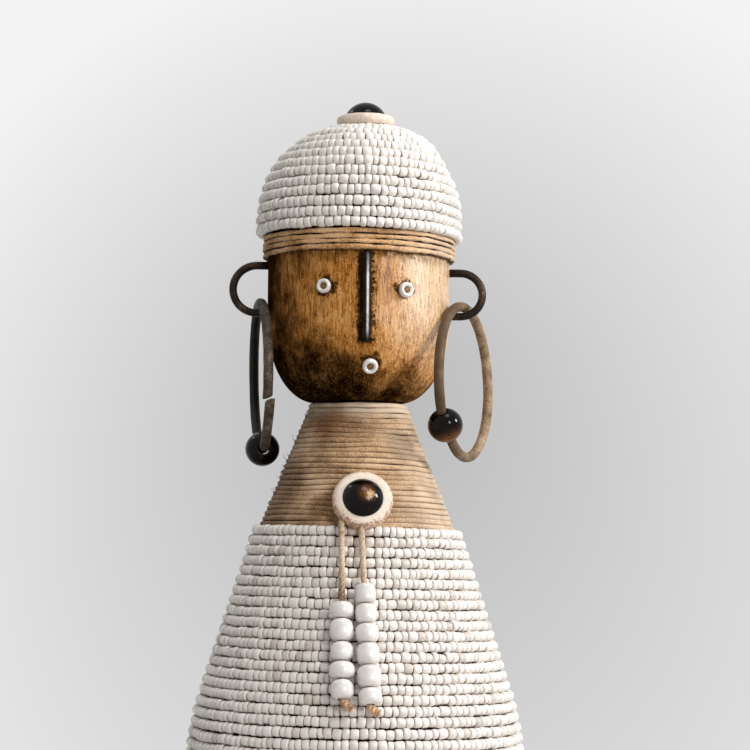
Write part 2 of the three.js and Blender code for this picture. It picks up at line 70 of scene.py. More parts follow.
BMesh = bmesh.types.BMesh
Socket = bpy.types.NodeSocket
Thing = bpy.types.Object
Place = tuple[float, float]
Point = tuple[float, float, float]
Colour = tuple[float, float, float, float]


class Side(Enum):
    """The two ears and pendants, by the side they are seen on."""

    LEFT = "left"
    RIGHT = "right"

    def node(self, part: str) -> str:
        """The name of a part on this side."""
        return f"{self.value}_{part}"


class Slot(Enum):
    """The record's material slots."""

    WOOD = "wood"
    SEEDS = "seed_beads"
    GLASS = "white_glass"
    TWINE = "twine"
    BAND = "band_cord"
    IRON = "iron"
    BONE = "bone"
    HORN = "horn"


def tone(code: str) -> Colour:
    """The linear colour of a hexadecimal code."""
    parts = [int(code[i : i + 2], 16) / 255 for i in (1, 3, 5)]
    return (*(p / 12.92 if p <= 0.04045 else ((p + 0.055) / 1.055) ** 2.4 for p in parts), 1.0)


def polar(radius: float, turn: float, height: float) -> Vector:
    """The point at a radius and height, turned from the front towards +X."""
    return Vector((radius * math.sin(turn), -radius * math.cos(turn), height))


def wound(turns: float) -> float:
    """The angle that a winding has reached, from the back and leftwards in front."""
    return math.pi * (1 - 2 * turns)


def middle(node: str) -> Vector:
    """The middle of a CAD node's box."""
    low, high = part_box(node)
    return (low + high) / 2


def joint_axis(name: str) -> Vector:
    """The axis of a joint of the frame."""
    return next(Vector(each["axis"]) for each in frame["joints"] if each["name"] == name)


def joint_place(name: str) -> Vector:
    """The place of a joint that turns. A straight slide has none."""
    return next(Vector(each["pos_m"]) for each in frame["joints"] if each["name"] == name)


def wobble(seed: float, along: float) -> float:
    """A smooth, repeatable wander between about -1 and 1."""
    return noise.noise(Vector((along, seed * 7.31, seed * 1.77)))


class Level:
    """A number in a node tree, which the plain signs of arithmetic work on."""

    def __init__(self, nodes: "Nodes", socket: Socket) -> None:
        """Keeps the number's socket and the nodes that it belongs to."""
        self.nodes, self.socket = nodes, socket

    def __add__(self, other: "Input") -> "Level":
        """The sum."""
        return self.nodes.sums("ADD", self, other)

    def __sub__(self, other: "Input") -> "Level":
        """The difference."""
        return self.nodes.sums("SUBTRACT", self, other)

    def __mul__(self, other: "Input") -> "Level":
        """The product."""
        return self.nodes.sums("MULTIPLY", self, other)

    def __abs__(self) -> "Level":
        """The number without its sign."""
        return self.nodes.sums("ABSOLUTE", self)


Input = Level | Socket | Vector | Point | Colour | str | float


class Nodes:
    """A node tree in the making, with short calls for its nodes and links."""

    def __init__(self, tree: bpy.types.NodeTree) -> None:
        """Takes the tree that the nodes go into."""
        self.tree = tree

    def feed(self, socket: Socket, value: Input) -> None:
        """Links a socket to another one, or sets its value.

        Args:
            socket: The socket that is fed.
            value: A number or socket of the tree, a plain value or a hexadecimal colour.
        """
        value = value.socket if isinstance(value, Level) else value
        if isinstance(value, Socket):
            self.tree.links.new(value, socket)
        else:
            socket.default_value = tone(value) if isinstance(value, str) else value

    def add(self, kind: str, inputs: dict[str | int, Input], **settings: str) -> bpy.types.Node:
        """Adds a node.

        Args:
            kind: The node's type.
            inputs: Values or sockets for its inputs, by name or number.
            **settings: Its other properties.

        Returns:
            The node.
        """
        node = self.tree.nodes.new(kind)
        for key, value in settings.items():
            setattr(node, key, value)
        for key, value in inputs.items():
            self.feed(node.inputs[key], value)
        return node

    def sums(self, operation: str, first: Input, second: Input = 0.0) -> Level:
        """One step of arithmetic."""
        return Level(self, self.add("ShaderNodeMath", {0: first, 1: second}, operation=operation).outputs[0])

    def most(self, first: Input, *others: Input) -> Level:
        """The largest of some numbers.

        Args:
            first: One number.
            *others: The rest.

        Returns:
            The largest.
        """
        for other in others:
            first = self.sums("MAXIMUM", first, other)
        return first

    def apart(self, place: Socket, point: Input) -> Level:
        """The distance of a place from a point."""
        node = self.add("ShaderNodeVectorMath", {0: place, 1: point}, operation="DISTANCE")
        return Level(self, node.outputs["Value"])

    def split(self, place: Socket) -> tuple[Level, ...]:
        """The three parts of a vector."""
        return tuple(Level(self, part) for part in self.add("ShaderNodeSeparateXYZ", {0: place}).outputs)


class Shader(Nodes):
    """A node material in the making, with calls for the patterns that the finishes share."""

    def __init__(self, name: str) -> None:
        """Starts a material that has only its Principled shader.

        Args:
            name: The material's name.
        """
        self.material = bpy.data.materials.new(name)
        self.material.use_nodes = True
        super().__init__(self.material.node_tree)
        self.surface = self.tree.nodes["Principled BSDF"]
        self.place = self.add("ShaderNodeTexCoord", {}).outputs["Object"]

    def finish(self, **sockets: Input) -> None:
        """Sets the shader's sockets, named in lower case with underscores."""
        for key, value in sockets.items():
            self.feed(self.surface.inputs[key.replace("_", " ").title().replace("Ior", "IOR")], value)

    def attribute(self, name: str) -> Level:
        """A number that the mesh carries."""
        return Level(self, self.add("ShaderNodeAttribute", {}, attribute_name=name).outputs["Fac"])

    def axes(self) -> tuple[Level, ...]:
        """The three object coordinates."""
        return self.split(self.place)

    def stretched(self, across: float, up: float) -> Socket:
        """Object coordinates with one scale for X and Y and another for Z."""
        return self.add("ShaderNodeMapping", {"Vector": self.place, "Scale": (across, across, up)}).outputs[0]

    def joined(self, first: Input, second: Input) -> Socket:
        """Two numbers as the X and Y of a vector."""
        return self.add("ShaderNodeCombineXYZ", {0: first, 1: second}).outputs[0]

    def grain(self, scale: float, detail: float = 4.0, rough: float = 0.55, vector: Socket | None = None) -> Level:
        """Noise.

        Args:
            scale: Features in a metre, or in a unit of the vector.
            detail: How many finer layers it has.
            rough: How strong they are.
            vector: Where it is read, or None for object coordinates.

        Returns:
            A number from 0 to 1.
        """
        inputs = {"Vector": vector or self.place, "Scale": scale, "Detail": detail, "Roughness": rough}
        return Level(self, self.add("ShaderNodeTexNoise", inputs).outputs["Fac"])

    def span(self, value: Input, low: float, high: float, start: float = 0.0, end: float = 1.0) -> Level:
        """A smooth step.

        Args:
            value: What is mapped.
            low: The value that gives start.
            high: The value that gives end.
            start: The result at low.
            end: The result at high.

        Returns:
            The mapped number.
        """
        inputs = {"Value": value, 1: low, 2: high, 3: start, 4: end}
        return Level(self, self.add("ShaderNodeMapRange", inputs, interpolation_type="SMOOTHSTEP").outputs[0])

    def ragged(self, grain: Input, reach: float, margin: float = 0.3) -> Level:
        """Noise as a length that goes from minus its reach to its reach."""
        return self.span(grain, margin, 1 - margin, -reach, reach)

    def ramp(self, value: Input, *stops: tuple[float, str]) -> Socket:
        """A colour ramp.

        Args:
            value: Where it is read.
            *stops: Place and hexadecimal colour of each stop.

        Returns:
            The colour.
        """
        node = self.add("ShaderNodeValToRGB", {0: value})
        elements = node.color_ramp.elements
        while len(elements) < len(stops):
            elements.new(1.0)
        for element, (position, code) in zip(elements, stops):
            element.position = position
            element.color = tone(code)
        return node.outputs[0]

    def mix(self, share: Input, first: Input, second: Input) -> Socket:
        """Lays as large a share of the second colour over the first."""
        return self.add("ShaderNodeMix", {0: share, 6: first, 7: second}, data_type="RGBA").outputs[2]

    def bump(self, height: Input, strength: float, depth: float) -> Socket:
        """A bumped normal of the given depth in metres."""
        return self.add("ShaderNodeBump", {"Height": height, "Strength": strength, "Distance": depth}).outputs[0]

    def near(self, point: Input, inner: float, outer: float, ragged: Input) -> Level:
        """A spot that is 1 inside an inner radius about a point, and 0 past an outer one with a ragged edge."""
        return self.span(self.apart(self.place, point) + ragged, inner, outer, 1.0, 0.0)


@dataclass(frozen=True)
class Finish:
    """A surface finish, made once as a material."""

    name: str

    def material(self) -> bpy.types.Material:
        """The finish's material, painted on its first use.

        Returns:
            The material.
        """
        found = bpy.data.materials.get(self.name)
        if not found:
            shader = Shader(self.name)
            self.paint(shader)
            found = shader.material
        return found

    def paint(self, shader: Shader) -> None:
        """Lays the finish on a new shader."""
        raise NotImplementedError


@dataclass(frozen=True)
class StainedWood(Finish):
    """Brown stained wood with an upright grain, darkened by stain and painted shade, with a painted highlight on its
    +X side.

    Attributes:
        spots: Middles of the eyes and the mouth, with rims of painted shadow round them.
        nose: Middle of the nose, with painted shade on both sides.
        nose_half: Half of the nose's height.
        brow: Height of the brow band's lower edge.
        chin: Height of the chin.
    """

    spots: tuple[Point, ...]
    nose: Point
    nose_half: float
    brow: float
    chin: float

    def paint(self, shader: Shader) -> None:
        """Lays grain, a painted highlight on the +X side, stain and painted shade, pits and cracks over brown wood.

        Args:
            shader: The new material's shader.
        """
        across, _, height = shader.axes()
        fine = shader.grain(1.0, 4.0, 0.7, shader.stretched(1500.0, 190.0))
        streak = shader.grain(1.0, 3.0, 0.6, shader.stretched(480.0, 48.0))
        blotch = shader.grain(75.0, 4.0, 0.6)
        tooth = shader.grain(2300.0, 2.0, 0.7)
        value = fine * 0.7 + streak * 0.3 + blotch * 0.25 + shader.ragged(tooth, 0.09, 0.25)
        browns = (0.43, "#4a2a0d"), (0.53, "#94581d"), (0.62, "#c6843f"), (0.72, "#d99e5c"), (0.86, "#e6bd8a")
        colour = shader.ramp(value, *browns)
        # A painted highlight: the +X side grows pale, above the chin.
        worn = shader.span(across + shader.ragged(blotch, 6 * MM), 7 * MM, 27 * MM)
        worn *= shader.span(height, self.chin + 8 * MM, self.chin + 34 * MM, 0.25, 1.0)
        texture = shader.span(fine + tooth, 0.75, 1.25, 0.2, 0.88)
        colour = shader.mix(worn * texture, colour, "#f1d5ae")
        ragged = shader.ragged(shader.grain(420.0, 3.0), 1.6 * MM)
        # Stain and painted shade: dark on the -X side and towards the chin.
        side = shader.span(across + shader.ragged(blotch, 8 * MM), -10 * MM, -38 * MM, 0.0, 0.94)
        uneven = height + shader.ragged(blotch, 6 * MM) + across * 0.4
        low = shader.span(uneven, self.chin + 25 * MM, self.chin + 2 * MM)
        dark = shader.most(self.stain_and_painted_shade(shader, ragged), self.painted_shade_under_windings(shader, height), side, low)
        dark *= shader.span(value, 0.9, 0.6, 0.72, 1.0)
        colour = shader.mix(dark, colour, "#120701")
        pits = shader.span(shader.grain(1.0, 2.0, 0.5, shader.stretched(1900.0, 420.0)), 0.58, 0.7)
        colour = shader.mix(pits * 0.6, colour, "#2a1406")
        colour = shader.mix(self.cracks(shader, across), colour, "#2b1a0e")
        polished = shader.span(across, 0.0, 25 * MM) * shader.span(height, self.chin + 8 * MM, self.chin + 28 * MM)
        shader.finish(
            base_color=colour,
            roughness=shader.span(value, 0.4, 0.85, 0.46, 0.34),
            specular_ior_level=0.0,
            coat_weight=polished * shader.span(dark, 0.05, 0.5, 1.0, 0.0),
            coat_roughness=0.36,
            coat_ior=1.85,
            normal=shader.bump(fine + streak - pits * 0.5, 0.5, 0.3 * MM),
        )

    def stain_and_painted_shade(self, shader: Shader, ragged: Level) -> Level:
        """Where stain collects and shade is painted: under the brow, round the eyes and mouth and beside the nose.

        Args:
            shader: The wood's shader.
            ragged: What roughens the edges.

        Returns:
            A mask of the dark places.
        """
        across, depth, height = shader.axes()
        dark = shader.span(height, self.brow - 6 * MM, self.brow, 0.0, 0.75)
        dark *= shader.span(ragged, 1.6 * MM, -1.6 * MM, 0.3, 1.0)
        # Rims of painted shadow round the eyes and the mouth.
        for spot in self.spots:
            rim = shader.near(Vector(spot) + Vector((0.4, 0.0, 0.7)) * MM, 3.3 * MM, 5.0 * MM, ragged)
            dark = shader.most(dark, rim * 0.9)
        rough = shader.ragged(shader.grain(850.0, 3.0), 1.3 * MM)
        rough *= shader.span(across, self.nose[0], self.nose[0] + 2 * MM, 0.4, 1.0)
        # Painted shade in the crevices beside the nose.
        beside = shader.span(abs(across - (self.nose[0] - 0.4 * MM)) + rough, 2.2 * MM, 4.2 * MM, 1.0, 0.0)
        length = abs(height - self.nose[2])
        near = shader.span(length, self.nose_half - 1 * MM, self.nose_half + 2 * MM, 0.95, 0.0)
        return shader.most(dark, beside * (near * shader.span(depth, -6 * MM, -14 * MM)))

    def cracks(self, shader: Shader, across: Level) -> Level:
        """Fine upright cracks in patches, most of all on the +X side.

        Args:
            shader: The wood's shader.
            across: The X coordinate.

        Returns:
            A mask of the cracks.
        """
        vein = shader.grain(1.0, 3.0, 0.65, shader.stretched(650.0, 80.0))
        line = shader.span(abs(vein - 0.5), 0.0, 0.022, 1.0, 0.0)
        patch = shader.span(shader.grain(90.0, 2.0), 0.46, 0.62)
        return line * patch * shader.span(across, -6 * MM, 8 * MM, 0.35, 0.75)

    def painted_shade_under_windings(self, shader: Shader, height: Level) -> Level:
        """Painted shade on the wood under the windings, below the chin and above the brow, which shows between their
        turns.
        """
        low = shader.span(height, self.chin + 1 * MM, self.chin - 1 * MM)
        return shader.most(low, shader.span(height, self.brow - 0.5 * MM, self.brow + 1 * MM))


@dataclass(frozen=True)
class PegWood(Finish):
    """The end grain of a small brown peg."""

    def paint(self, shader: Shader) -> None:
        """Lays pores in brown.

        Args:
            shader: The new material's shader.
        """
        pores = shader.grain(1600.0, 3.0, 0.6)
        shader.finish(
            base_color=shader.ramp(pores, (0.35, "#3a210d"), (0.5, "#85582b"), (0.7, "#ab7c48")),
            roughness=0.6,
            normal=shader.bump(pores, 0.4, 0.2 * MM),
        )


@dataclass(frozen=True)
class SeedGlass(Finish):
    """Opaque white seed beads, each a little different, with warm dirt in their rims.

    Attributes:
        stain: Middle of a brown spot.
    """

    stain: Point

    def paint(self, shader: Shader) -> None:
        """Lays a tone for each bead under faint speckles, one brown spot and the dirt.

        Args:
            shader: The new material's shader.
        """
        speck = shader.grain(900.0, 2.0)
        each = shader.attribute("tone")
        whites = (0.0, "#c9beb3"), (0.35, "#e7e0d9"), (1.0, "#f3ede6")
        colour = shader.ramp(each + shader.ragged(speck, 0.08), *whites)
        # A brown spot on the front beads.
        spot = shader.near(self.stain, 1 * MM, 9 * MM, shader.ragged(speck, 2 * MM))
        colour = shader.mix(spot * 0.6, colour, "#a9784a")
        colour = shader.mix(shader.span(shader.attribute("rim"), 0.25, 1.0, 0.0, 0.85), colour, "#7a4a1c")
        shader.finish(
            base_color=colour,
            roughness=shader.span(each, 0.0, 1.0, 0.36, 0.18),
            normal=shader.bump(shader.grain(420.0, 2.0), 0.25, 0.1 * MM),
        )


@dataclass(frozen=True)
class PolishedGlass(Finish):
    """Larger white glass beads with a clear gloss and faint clouds."""

    def paint(self, shader: Shader) -> None:
        """Lays clouds, a few dark pits and dirt at the bore in white glass.

        Args:
            shader: The new material's shader.
        """
        cloud = shader.grain(260.0, 3.0)
        colour = shader.ramp(cloud, (0.35, "#e1dbd5"), (0.6, "#ece7e3"))
        pit = shader.span(shader.grain(1500.0, 1.0), 0.76, 0.8)
        colour = shader.mix(pit * 0.5, colour, "#8d7d6c")
        colour = shader.mix(shader.span(shader.attribute("rim"), 0.55, 1.0, 0.0, 0.8), colour, "#9a7f5f")
        shader.finish(
            base_color=colour,
            roughness=shader.span(cloud, 0.3, 0.7, 0.1, 0.2),
            normal=shader.bump(cloud, 0.1, 0.2 * MM),
            coat_weight=0.8,
            coat_roughness=0.08,
        )


@dataclass(frozen=True)
class Twine(Finish):
    """Spun plant fibre that follows the turns of a winding or a hanging cord.

    Attributes:
        dark: Colour in the hollows.
        base: Main colour.
        light: Colour of the loose fibres.
        strands: Twists in a radian of the winding.
        slant: How much the twists lean with height.
        ply: How plainly the twists show.
        painted_light: How pale painted light makes it on the +X side.
        painted_shade: How dark painted shade makes it on the -X side.
        painted_slit_shade: How dark the painted shade in the broken gaps between its turns is.
        painted_light_above: Height above which painted light makes it paler, if it is.
        stain: Middle of a brown stain, if it has one.
    """

    dark: str = "#86623c"
    base: str = "#d2ac84"
    light: str = "#f2dec4"
    strands: float = 150.0
    slant: float = 2200.0
    ply: float = 0.05
    painted_light: float = 0.0
    painted_shade: float = 0.0
    painted_slit_shade: float = 0.0
    painted_light_above: float | None = None
    stain: Point | None = None

    def paint(self, shader: Shader) -> None:
        """Lays slanting twists and fibres round the Z axis, with the painted light and shade that it is given.

        Args:
            shader: The new material's shader.
        """
        across, depth, height = shader.axes()
        turn = shader.sums("ARCTAN2", across, depth)
        phase = turn * self.strands + height * self.slant + shader.grain(350.0, 3.0) * 9.0
        twist = shader.span(shader.sums("SINE", phase), -1.0, 1.0)
        fibre = shader.grain(1.0, 4.0, 0.75, shader.joined(turn * 22.0, height * 2600.0))
        fuzz = shader.grain(1700.0, 3.0, 0.7)
        blotch = shader.grain(75.0, 3.0)
        value = twist * self.ply + fibre * 0.45 + fuzz * 0.6 + shader.ragged(blotch, 0.14, 0.25)
        colour = shader.ramp(value, (0.39, self.dark), (0.6, self.base), (0.88, self.light))
        stain = shader.span(shader.grain(60.0, 4.0, 0.65), 0.5, 0.7)
        colour = shader.mix(stain * 0.35, colour, "#7a4e26")
        # Painted light on the +X side.
        if self.painted_light:
            colour = shader.mix(shader.span(across, 4 * MM, 34 * MM, 0.0, self.painted_light), colour, self.light)
        # Painted light towards the top.
        if self.painted_light_above:
            colour = shader.mix(shader.span(height, self.painted_light_above, self.painted_light_above + 5 * MM, 0.0, 0.6), colour, self.light)
        # Painted shade on the -X side.
        if self.painted_shade:
            patchy = across + shader.ragged(blotch, 9 * MM)
            colour = shader.mix(shader.span(patchy, -4 * MM, -28 * MM, 0.0, self.painted_shade), colour, "#5a3815")
        # Painted shade in broken gaps along the edges of the turns.
        if self.painted_slit_shade:
            dash = shader.grain(1.0, 3.0, 0.6, shader.joined(turn * 8.0, height * 420.0))
            slit_shade_mask = shader.span(shader.attribute("rim"), 0.55, 0.92) * shader.span(dash, 0.42, 0.56, 0.15, self.painted_slit_shade)
            colour = shader.mix(slit_shade_mask, colour, "#2e1a0a")
        if self.stain:
            spot = shader.near(self.stain, 1 * MM, 10 * MM, shader.ragged(fuzz, 2 * MM))
            colour = shader.mix(spot * 0.5, colour, "#8a531f")
        shader.finish(
            base_color=colour,
            roughness=0.92,
            specular_ior_level=0.15,
            sheen_weight=0.2,
            sheen_roughness=0.5,
            normal=shader.bump(twist * (2 * self.ply) + (fibre + fuzz), 0.7, 0.3 * MM),
        )


@dataclass(frozen=True)
class ForgedIron(Finish):
    """Dark forged iron with brown scale and worn, brighter ridges, and on some pieces a painted highlight stripe and
    painted shade.

    Attributes:
        dark: Colour of the scale.
        brown: Main colour.
        worn: Colour of the ridges.
        rough: Main roughness.
        metal: How metallic the worn places are.
        gloss: Its specular level.
        painted_highlight_stripe: X, lowest and highest Z of an upright stripe of painted highlight, if it has one.
        shade: X where painted shade makes it black and X where it has none, if it has painted shade.
    """

    dark: str
    brown: str
    worn: str
    rough: float
    metal: float
    gloss: float = 0.2
    painted_highlight_stripe: Point | None = None
    shade: Place | None = None

    def paint(self, shader: Shader) -> None:
        """Lays scale in patches over iron, and then the painted highlight stripe and the painted shade.

        Args:
            shader: The new material's shader.
        """
        value = shader.grain(160.0, 5.0, 0.65) * 0.65 + shader.grain(1400.0, 3.0, 0.6) * 0.35
        colour = shader.ramp(value, (0.36, self.dark), (0.52, self.brown), (0.72, self.worn))
        across, _, height = shader.axes()
        # A pale stripe of painted highlight down the rod.
        if self.painted_highlight_stripe:
            middle_x, low, high = self.painted_highlight_stripe
            highlight_stripe_mask = shader.span(abs(across - middle_x), 0.0, 0.75 * MM, 1.0, 0.0) * shader.span(value, 0.3, 0.6)
            highlight_stripe_mask *= shader.span(height, low, low + 7 * MM)
            highlight_stripe_mask *= shader.span(height, high, high - 9 * MM)
            colour = shader.mix(highlight_stripe_mask, colour, "#ece6de")
        # Painted shade, black at the first X and gone by the second.
        if self.shade:
            colour = shader.mix(shader.span(across, *self.shade, 0.85, 0.0), colour, self.dark)
        shader.finish(
            base_color=colour,
            metallic=shader.span(value, 0.4, 0.7, self.metal - 0.1, self.metal + 0.15),
            roughness=shader.span(value, 0.35, 0.7, self.rough + 0.1, self.rough - 0.08),
            specular_ior_level=self.gloss,
            normal=shader.bump(value, 0.5, 0.25 * MM),
        )


@dataclass(frozen=True)
class Bone(Finish):
    """Cream bone with brown specks that gather at the rim, most of all below.

    Attributes:
        centre: Middle of the ring.
        rim: The ring's outer radius.
        specks: How dark the specks are.
    """

    centre: Point
    rim: float
    specks: float

    def paint(self, shader: Shader) -> None:
        """Lays specks, pores and a warm rim in cream.

        Args:
            shader: The new material's shader.
        """
        pores = shader.grain(760.0, 5.0, 0.75)
        cloud = shader.grain(150.0, 3.0)
        colour = shader.ramp(cloud, (0.3, "#ead6c2"), (0.65, "#f4e8dc"))
        edge = shader.sums("SUBTRACT", 1.0, shader.near(self.centre, 0.72 * self.rim, 1.03 * self.rim, 0.0))
        level = self.centre[2]
        below = shader.span(shader.axes()[2], level + 0.6 * self.rim, level - 0.8 * self.rim, 0.6, 1.0)
        speck = shader.span(pores - shader.span(edge * below, 0.0, 1.0, 0.64, 0.45), 0.0, 0.07)
        colour = shader.mix(speck * self.specks, colour, "#8c4806")
        warm = edge * shader.span(cloud, 0.4, 0.65, 0.15 * self.specks, 0.56 * self.specks)
        colour = shader.mix(warm, colour, "#d09a56")
        shader.finish(base_color=colour, roughness=0.42, normal=shader.bump(pores, 0.2, 0.12 * MM))


@dataclass(frozen=True)
class PolishedHorn(Finish):
    """Black polished horn with a brown, cloudy patch and, on some, a painted highlight.

    Attributes:
        patch: Middle of the patch.
        inner: Radius of its full colour.
        outer: Radius where it ends.
        painted_highlight_spot: Middle of a pale spot of painted highlight, if it has one.
        gloss: Its specular level.
        rough: Its roughness where it is smoothest.
    """

    patch: Point
    inner: float
    outer: float
    painted_highlight_spot: Point | None = None
    gloss: float = 0.13
    rough: float = 0.08

    def paint(self, shader: Shader) -> None:
        """Lays a speckled brown patch in black, and a pale painted highlight where it has one.

        Args:
            shader: The new material's shader.
        """
        speck = shader.grain(1500.0, 3.0, 0.7)
        ragged = shader.ragged(speck, 1.2 * MM, 0.25)
        brown = shader.ramp(speck, (0.4, "#160b04"), (0.53, "#74431a"), (0.72, "#b87c3e"))
        colour = shader.mix(shader.near(self.patch, self.inner, self.outer, ragged), "#080402", brown)
        # A pale tan spot of painted highlight.
        if self.painted_highlight_spot:
            colour = shader.mix(shader.near(self.painted_highlight_spot, 0.0, 0.5 * self.outer, ragged) * 0.95, colour, "#f3cfa2")
        shader.finish(
            base_color=colour,
            roughness=shader.span(shader.grain(300.0, 4.0), 0.35, 0.7, self.rough, self.rough + 0.1),
            normal=shader.bump(shader.grain(240.0, 2.0), 0.05, 0.3 * MM),
            specular_ior_level=self.gloss,
        )


def arc(centre: Place, radii: Place, start: float, end: float, steps: int, power: float = 1.0) -> list[Place]:
    """Points on an ellipse, or on a squarer oval.

    Args:
        centre: Its middle.
        radii: Its half widths, of which a negative one mirrors it.
        start: Angle of the first point.
        end: Angle of the last point.
        steps: Steps between them.
        power: What the sine and cosine are raised to, less than 1 for a squarer shape.

    Returns:
        The points.
    """
    points = []
    for i in range(steps + 1):
        angle = start + (end - start) * i / steps
        shares = [math.copysign(abs(share) ** power, share) for share in (math.cos(angle), math.sin(angle))]
        points.append((centre[0] + radii[0] * shares[0], centre[1] + radii[1] * shares[1]))
    return points


def lathe(outline: Iterable[Place], steps: int) -> BMesh:
    """Spins an outline about the Z axis and points its faces outwards.

    Args:
        outline: Radius and height of each point.
        steps: Parts of the full turn.

    Returns:
        The mesh.
    """
    bm = bmesh.new()
    points = [bm.verts.new((radius, 0.0, height)) for radius, height in outline]
    edges = [bm.edges.new(pair) for pair in zip(points, points[1:])]
    geom = [*points, *edges]
    bmesh.ops.spin(bm, geom=geom, cent=ORIGIN, axis=UP, angle=FULL, steps=steps, use_merge=True)
    bmesh.ops.remove_doubles(bm, verts=bm.verts[:], dist=1e-7)
    bmesh.ops.recalc_face_normals(bm, faces=bm.faces[:])
    return bm


def mark_bore(bm: BMesh, bore: float, reach: float) -> None:
    """Marks how near each point of a turned bead is to its bore.

    Args:
        bm: The bead, upright at the origin.
        bore: The bore's radius.
        reach: How far from it the mark fades out.
    """
    rim = bm.verts.layers.float.new("rim")
    for vert in bm.verts:
        vert[rim] = max(0.0, 1 - (math.hypot(vert.co.x, vert.co.y) - bore) / reach)


def stand(bm: BMesh, place: Vector, axis: Vector) -> BMesh:
    """Moves an upright mesh to its place and turns it to its axis.

    Args:
        bm: The mesh.
        place: Where its origin goes.
        axis: Where its Z axis points.

    Returns:
        The same mesh.
    """
    seat = Matrix.Translation(place) @ UP.rotation_difference(axis).to_matrix().to_4x4()
    bmesh.ops.transform(bm, matrix=seat, verts=bm.verts[:])
    return bm


def basis(*columns: Vector) -> Matrix:
    """The matrix that has three axes and a place as its columns."""
    return Matrix([[column[i] for column in columns] for i in range(3)] + [[0.0, 0.0, 0.0, 1.0]])


def headings(path: Sequence[Vector]) -> list[Vector]:
    """The way that a path goes at each of its points."""
    last = len(path) - 1
    return [path[min(i + 1, last)] - path[max(i - 1, 0)] for i in range(last + 1)]


def station(place: Vector, along: Vector, out: Vector, width: float, height: float | None = None) -> Matrix:
    """Where a swept section stands.

    Args:
        place: Its middle.
        along: The way the sweep goes.
        out: The way its first half width points.
        width: Half width along out.
        height: Half width across it, or None for a round section.

    Returns:
        A matrix that places a unit circle.
    """
    along = along.normalized()
    out = (out - along * out.dot(along)).normalized()
    return basis(out * width, along.cross(out) * (height or width), along, place)


def wire(route: Sequence[Vector], half: float, out: Vector, seed: float) -> list[Matrix]:
    """Sections of a hand-drawn wire.

    Args:
        route: The points that it follows.
        half: Its half width.
        out: A direction across it.
        seed: What sets its small unevenness.

    Returns:
        The stations of its sweep.
    """
    widths = [half * (1 + 0.045 * wobble(seed, i * 0.37)) for i in range(len(route))]
    return [station(place, along, out, width) for place, along, width in zip(route, headings(route), widths)]


@dataclass(frozen=True)
class Strands:
    """The twisted strands that show on a cord.

    Attributes:
        depth: How deep the hollows between them are, as a share of the radius.
        count: How many there are.
        twist: How far they turn at each station.
    """

    depth: float
    count: int = 3
    twist: float = 0.3

    def reach(self, angle: float, number: int) -> float:
        """The share of the radius at an angle of a numbered station."""
        return 1 - self.depth * (1 - math.cos(self.count * (angle - number * self.twist))) / 2


def sweep(bm: BMesh, stations: Sequence[Matrix], sides: int, strands: Strands = Strands(0.0)) -> BMesh:
    """Draws a closed tube through its stations.

    Args:
        bm: The mesh that it is added to.
        stations: Where its sections stand.
        sides: Points round a section.
        strands: The strands that show on it.

    Returns:
        The same mesh.
    """
    step = FULL / sides
    known = len(bm.faces)

    def section(number: int, k: int) -> Vector:
        """The place of one point of one section."""
        reach = strands.reach(k * step, number)
        return stations[number] @ Vector((reach * math.cos(k * step), reach * math.sin(k * step), 0.0))

    ring = bmesh.ops.create_circle(bm, segments=sides, radius=1.0, matrix=stations[0])["verts"]
    edges = list({edge for vert in ring for edge in vert.link_edges})
    ends = list(edges)
    order = {vert: round(math.atan2(*(stations[0].inverted() @ vert.co).yx) / step) % sides for vert in ring}
    for vert, k in order.items():
        vert.co = section(0, k)
    for number in range(1, len(stations)):
        made = bmesh.ops.extrude_edge_only(bm, edges=edges)["geom"]
        fresh = {part for part in made if isinstance(part, bmesh.types.BMVert)}
        edges = [part for part in made if isinstance(part, bmesh.types.BMEdge) and fresh.issuperset(part.verts)]
        known_order, order = order, {}
        for vert in fresh:
            ends_known = (edge.other_vert(vert) for edge in vert.link_edges)
            order[vert] = next(known_order[other] for other in ends_known if other in known_order)
        for vert, k in order.items():
            vert.co = section(number, k)
    bmesh.ops.holes_fill(bm, edges=[*ends, *edges])
    bmesh.ops.recalc_face_normals(bm, faces=bm.faces[:][known:])
    return bm


def winding(stations: Sequence[Matrix], sides: int) -> BMesh:
    """Sweeps a winding and marks how near each point is to its upper or lower edge.

    Args:
        stations: Where the winding's sections stand.
        sides: Points round a section.

    Returns:
        The mesh.
    """
    bm = sweep(bmesh.new(), stations, sides)
    rim = bm.verts.layers.float.new("rim")
    frames = [place.inverted() for place in stations]
    for number, vert in enumerate(bm.verts[:]):
        vert[rim] = abs((frames[number // sides] @ vert.co).y)
    return bm


def as_mesh(name: str, bm: BMesh) -> bpy.types.Mesh:
    """Makes a mesh from a bmesh, which is freed.

    Args:
        name: The mesh's name.
        bm: What it is made from.

    Returns:
        The mesh.
    """
    mesh = bpy.data.meshes.new(name)
    bm.to_mesh(mesh)
    bm.free()
    return mesh


def put(name: str, data: bpy.types.ID) -> Thing:
    """Adds an object to the scene.

    Args:
        name: The object's name.
        data: Its mesh, lamp or camera.

    Returns:
        The object.
    """
    thing = bpy.data.objects.new(name, data)
    bpy.context.scene.collection.objects.link(thing)
    return thing


def add_piece(
    name: str, bm: BMesh, finish: Finish, nodes: Sequence[str], body: str | None = "figure"
) -> Thing:
    """Makes a piece of the doll.

    Args:
        name: The piece's name.
        bm: Its mesh, which is freed.
        finish: Its surface.
        nodes: The CAD nodes that it stands for.
        body: The body that it moves with, or None for a piece attached to none.

    Returns:
        The object.
    """
    mesh = as_mesh(name, bm)
    mesh.shade_smooth()
    mesh.materials.append(finish.material())
    piece = put(name, mesh)
    if body:
        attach(piece, body)
    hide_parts(*nodes)
    LOG.info("%s: %d faces on %s", name, len(mesh.polygons), body)
    return piece


